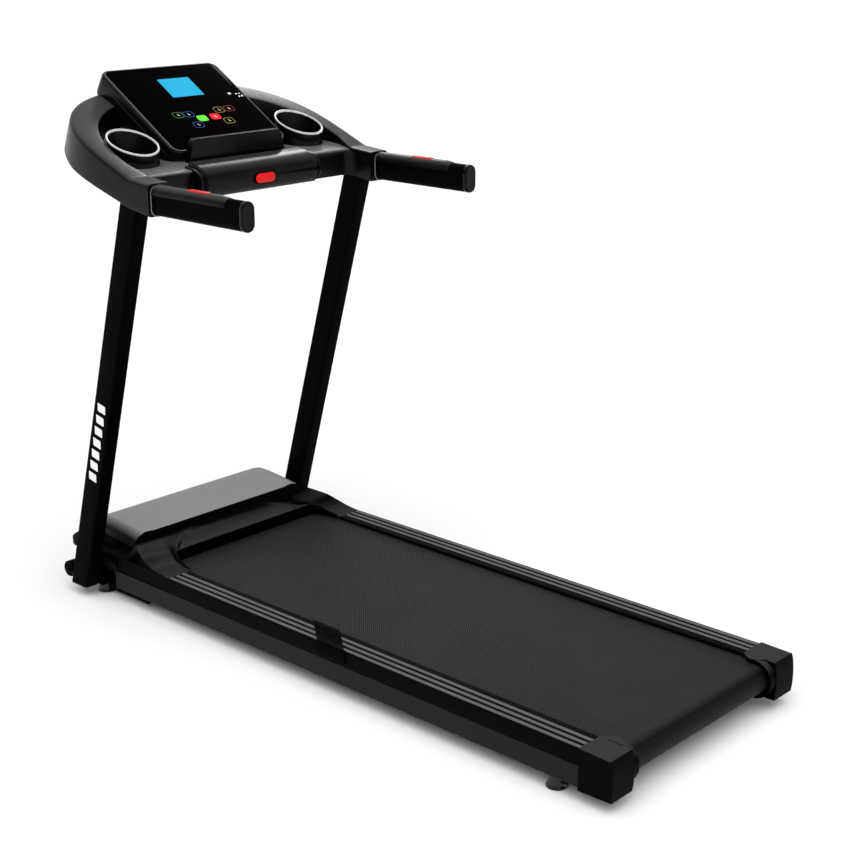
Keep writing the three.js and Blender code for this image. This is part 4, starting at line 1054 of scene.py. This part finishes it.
def housing():
    """The display's box, with a shallow groove round it and a rounded front rim."""
    rings = []
    for w, inset in ((-52, 9), (-50.5, 4.5), (-47, 1.5), (-42, 0.2), (-20, 0), (-19.2, 0.9), (-18.2, 0.9),
                     (-17.4, 0), (-7, 0), (-4.6, 0.4), (-2.6, 1.4), (-1.2, 3.2), (-0.8, 5.2)):
        outline = rounded_rectangle(GLASS_HALF + 3.2 - inset, -3.4 + inset, GLASS_LENGTH + 4 - inset,
                                    23 - inset, 10)
        rings.append([(x, u, w) for x, u in outline])
    return on_display(loft(rings))


def icon(x, u, filled, grow=1.0):
    """A rounded key legend, solid or as an outline."""
    half, tall, lift = 12.2 * grow, 9.0 * grow, 0.12
    outer = [(a + x, b + u) for a, b in rounded_rectangle(half, -tall, tall, 5.5 * grow, 6)]
    if filled:
        return on_display(loft([[(a, b, 0.02) for a, b in outer], [(a, b, lift) for a, b in outer]]))
    inner = [(x + (a - x) * (half - 1.1) / half, u + (b - u) * (tall - 1.1) / tall) for a, b in outer]
    levels = ((outer, 0.02), (outer, lift), (inner, lift), (inner, 0.02))
    ring = [[(a, b, w) for a, b in line] for line, w in levels]
    return on_display(loft(ring + ring[:1], capped=False))


def dash(x, u, width, height, slant=0.0):
    """A small printed mark on the glass."""
    outline = [(x - width / 2, u - height / 2), (x + width / 2, u - height / 2),
               (x + width / 2 + slant, u + height / 2), (x - width / 2 + slant, u + height / 2)]
    return on_display(loft([[(a, b, 0.02) for a, b in outline], [(a, b, 0.14) for a, b in outline]]))


piece("display_body", housing(), "shell", "base", ["display_housing"], crease=30)
bezel = plate(GLASS_HALF - 2.0, 1.4, GLASS_LENGTH - 0.6, 17, -3.0, -0.4, 0.5)
piece("display_bezel", bezel, "bezel", "base", crease=50)
window = plate(GLASS_HALF - 3.2, 2.6, GLASS_LENGTH - 1.8, 16, -3.0, -0.1, 0.5)
piece("display_window", window, "glass", "base", ["display_glass"], crease=50)
screen = [[(x + 5, u, w) for x, u in rounded_rectangle(40, 160, 220, 1.0)] for w in (-0.4, 0.05)]
piece("display_screen", on_display(loft(screen)), "lcd", "base", ["lcd_panel"])

# The look, whether it is solid, and the places (across, up) of the key legends.
KEYS = (
    ("legend_green", True, ((-13, 88),)), ("legend_red", True, ((21, 89),)),
    ("outline_green", False, ((-63, 105),)), ("outline_blue", False, ((-37, 104), (-36, 70))),
    ("outline_yellow", False, ((44.5, 108), (45, 72))), ("outline_red", False, ((72, 109),)),
)
for look, filled, spots in KEYS:
    piece(f"keys_{look}", joined(*[icon(x, u, filled) for x, u in spots]), look, "base")
marks = [dash(x + 1, u - 1.5, 5.0, 1.1) for spots in KEYS for x, u in spots[2]]
marks += [dash(x - 1, u + 1.6, 2.2, 1.6, 0.6) for spots in KEYS for x, u in spots[2]]
marks += [icon(108, 155, True, 0.3), dash(124, 152, 4.5, 3.0), dash(132, 152, 4.0, 2.2),
          dash(126, 143, 3.0, 4.0), dash(134, 144, 4.0, 4.6)]
piece("keys_legend_white", joined(*marks), "legend_white", "base")


def ledge():
    """The rest at the display's foot: a wide shelf with rounded ends, thin at the top."""
    outline = softened([(-124, 899), (-112, 944), (112, 944), (124, 899)], [1, 8, 8, 1], steps=8)
    return loft([[(x, y, z) for x, z in outline] for y in (1145.4, 1160.5)])


piece("book_ledge", ledge(), "gloss", "base", ["display_ledge"], bevel=2.0, segments=4)

# --- crossbar cover and safety key
# The cover's section, as (y, z).
COVER = softened([(1096.4, 839.8), (1076, 841), (1067.6, 866), (1076, 891), (1100, 901.5), (1127, 905.4),
                  (1127, 899), (1096.4, 893)], [1, 13, 15, 14, 12, 1.5, 1, 1], steps=7)
COVER_CENTRE = np.array([1096.0, 868.0])
COVER_HALF = 143
KEY_Z, KEY_HALF_HEIGHT, KEY_HALF_WIDTH = 866, 9.5, 25


def cover_collar(side):
    """Three stepped rings where the cover meets an arm."""
    shapes = []
    for near, far, scale in ((142.6, 146.0, 0.93), (145.6, 152, 0.80), (151.6, 156, 0.86)):
        shapes.append(loft([[(side * x, *(COVER_CENTRE + (np.array(p) - COVER_CENTRE) * (scale - inset)))
                             for p in COVER] for x, inset in ((near, 0), (far - 1.2, 0), (far, 0.03))]))
    return joined(*shapes)


def key_body(grow, rear, front, edge):
    """The key's flat oval, larger all round by grow, with its rear rim rounded by edge."""
    tall, wide = KEY_HALF_HEIGHT + grow, KEY_HALF_WIDTH + grow
    stations = (front, 0), (rear + edge, 0), (rear + 0.3 * edge, 0.3 * edge), (rear, edge)
    return loft([[(b * (wide - inset) / wide, y, KEY_Z + a * (tall - inset) / tall)
                  for a, b in stadium(tall, wide)] for y, inset in stations])


piece("crossbar_shroud", prism("x", COVER, -COVER_HALF, COVER_HALF), "gloss", "base",
      ["crossbar_cover"], bevel=1.6)
piece("shroud_collars", joined(cover_collar(-1), cover_collar(1)), "gloss", "base",
      bevel=0.5)
piece("key_recess", key_body(2.6, 1067.2, 1080, 0.6), "matt", "base", crease=50)
dimple = prism("y", [(-1.6, KEY_Z - 1.4), (1.6, KEY_Z - 1.4), (1.6, KEY_Z + 1.4), (-1.6, KEY_Z + 1.4)],
               1065.3, 1066)
piece("pull_key", joined(key_body(0, 1065.6, 1080, 1.8), dimple), "red", "safety_key",
      ["safety_key"], crease=50)

# --- handles
HANDLE_X, HANDLE_Z, HANDLE_REAR, HANDLE_CAP = 290.2, 859.4, 787.4, 10.0
GRIP_RADIUS, GRIP_RISE = 14, 27.2
GRIP = stadium(GRIP_RADIUS, GRIP_RISE)
PAD_Z = HANDLE_Z + GRIP_RISE


def oval_rings(stations):
    """A loft of the grip outline; each station is (y, inset)."""
    return loft([[(HANDLE_X + a * ((GRIP_RADIUS - inset) / GRIP_RADIUS), y,
                   HANDLE_Z + b * ((GRIP_RISE - inset) / GRIP_RISE)) for a, b in GRIP]
                 for y, inset in stations])


def handle_pad():
    """A shell over the upper half of the grip."""
    centre, start, end = (HANDLE_X, PAD_Z - GRIP_RADIUS), radians(-2), radians(182)
    inner = arc(centre, GRIP_RADIUS - 0.2, end, start, 26)
    stations = (836, 0.4), (837, 0.9), (850, 2.9), (852, 3.0), (1029, 3.0), (1035, 2.9), (1036, 2.2)
    return loft([[(x, y, z) for x, z in arc(centre, GRIP_RADIUS + rise, start, end, 26) + inner]
                 for y, rise in stations])


def pad_button():
    """The red button on the pad, with a rounded top."""
    half_width, half_length, middle = 6, 27, 919
    outline = softened([(-half_width, -half_length), (half_width, -half_length),
                        (half_width, half_length), (-half_width, half_length)], 3.5)
    return loft([[(HANDLE_X + a * (half_width - inset) / half_width,
                   middle + b * (half_length - inset) / half_length, PAD_Z + rise) for a, b in outline]
                 for rise, inset in ((1.6, 0), (3.0, 0), (3.5, 0.3), (3.8, 1.0))])


for label, side in SIDES:
    tube = oval_rings([(HANDLE_REAR + HANDLE_CAP + 0.4, 0.5), (HANDLE_REAR + HANDLE_CAP + 0.9, 0)]
                      + [(y, 0) for y in np.linspace(800, 1044, 8)])
    piece(f"{label}_grip_tube", handed(tube, side), "paint", "base",
          [f"{label}_handle_tube"], crease=50)
    cap = oval_rings([(HANDLE_REAR + dy, inset) for dy, inset in (
        (0.6, 5.5), (0.6, 4.2), (0, 3.6), (0, 2.6), (0.5, 1.2), (1.6, 0.2), (3, -0.4),
        (HANDLE_CAP - 0.8, -0.5), (HANDLE_CAP, 0.0))])
    piece(f"{label}_grip_cap", handed(cap, side), "gloss", "base",
          [f"{label}_handle_cap"], crease=50)
    seam = oval_rings([(1039, 0), (1037.4, 0), (1037, -0.5), (1037, -1.6), (1037.5, -2.1), (1039, -2.2)])
    # The seam's light grey is partly trim colour and partly a painted highlight line.
    piece(f"{label}_grip_seam", handed(seam, side), "bezel", "base", crease=50)
    piece(f"{label}_grip_pad", handed(handle_pad(), side), "shell", "base",
          [f"{label}_handle_pad"], crease=50)
    piece(f"{label}_speed_button", handed(pad_button(), side), "red", f"{label}_handle_button",
          [f"{label}_handle_button"], crease=50)
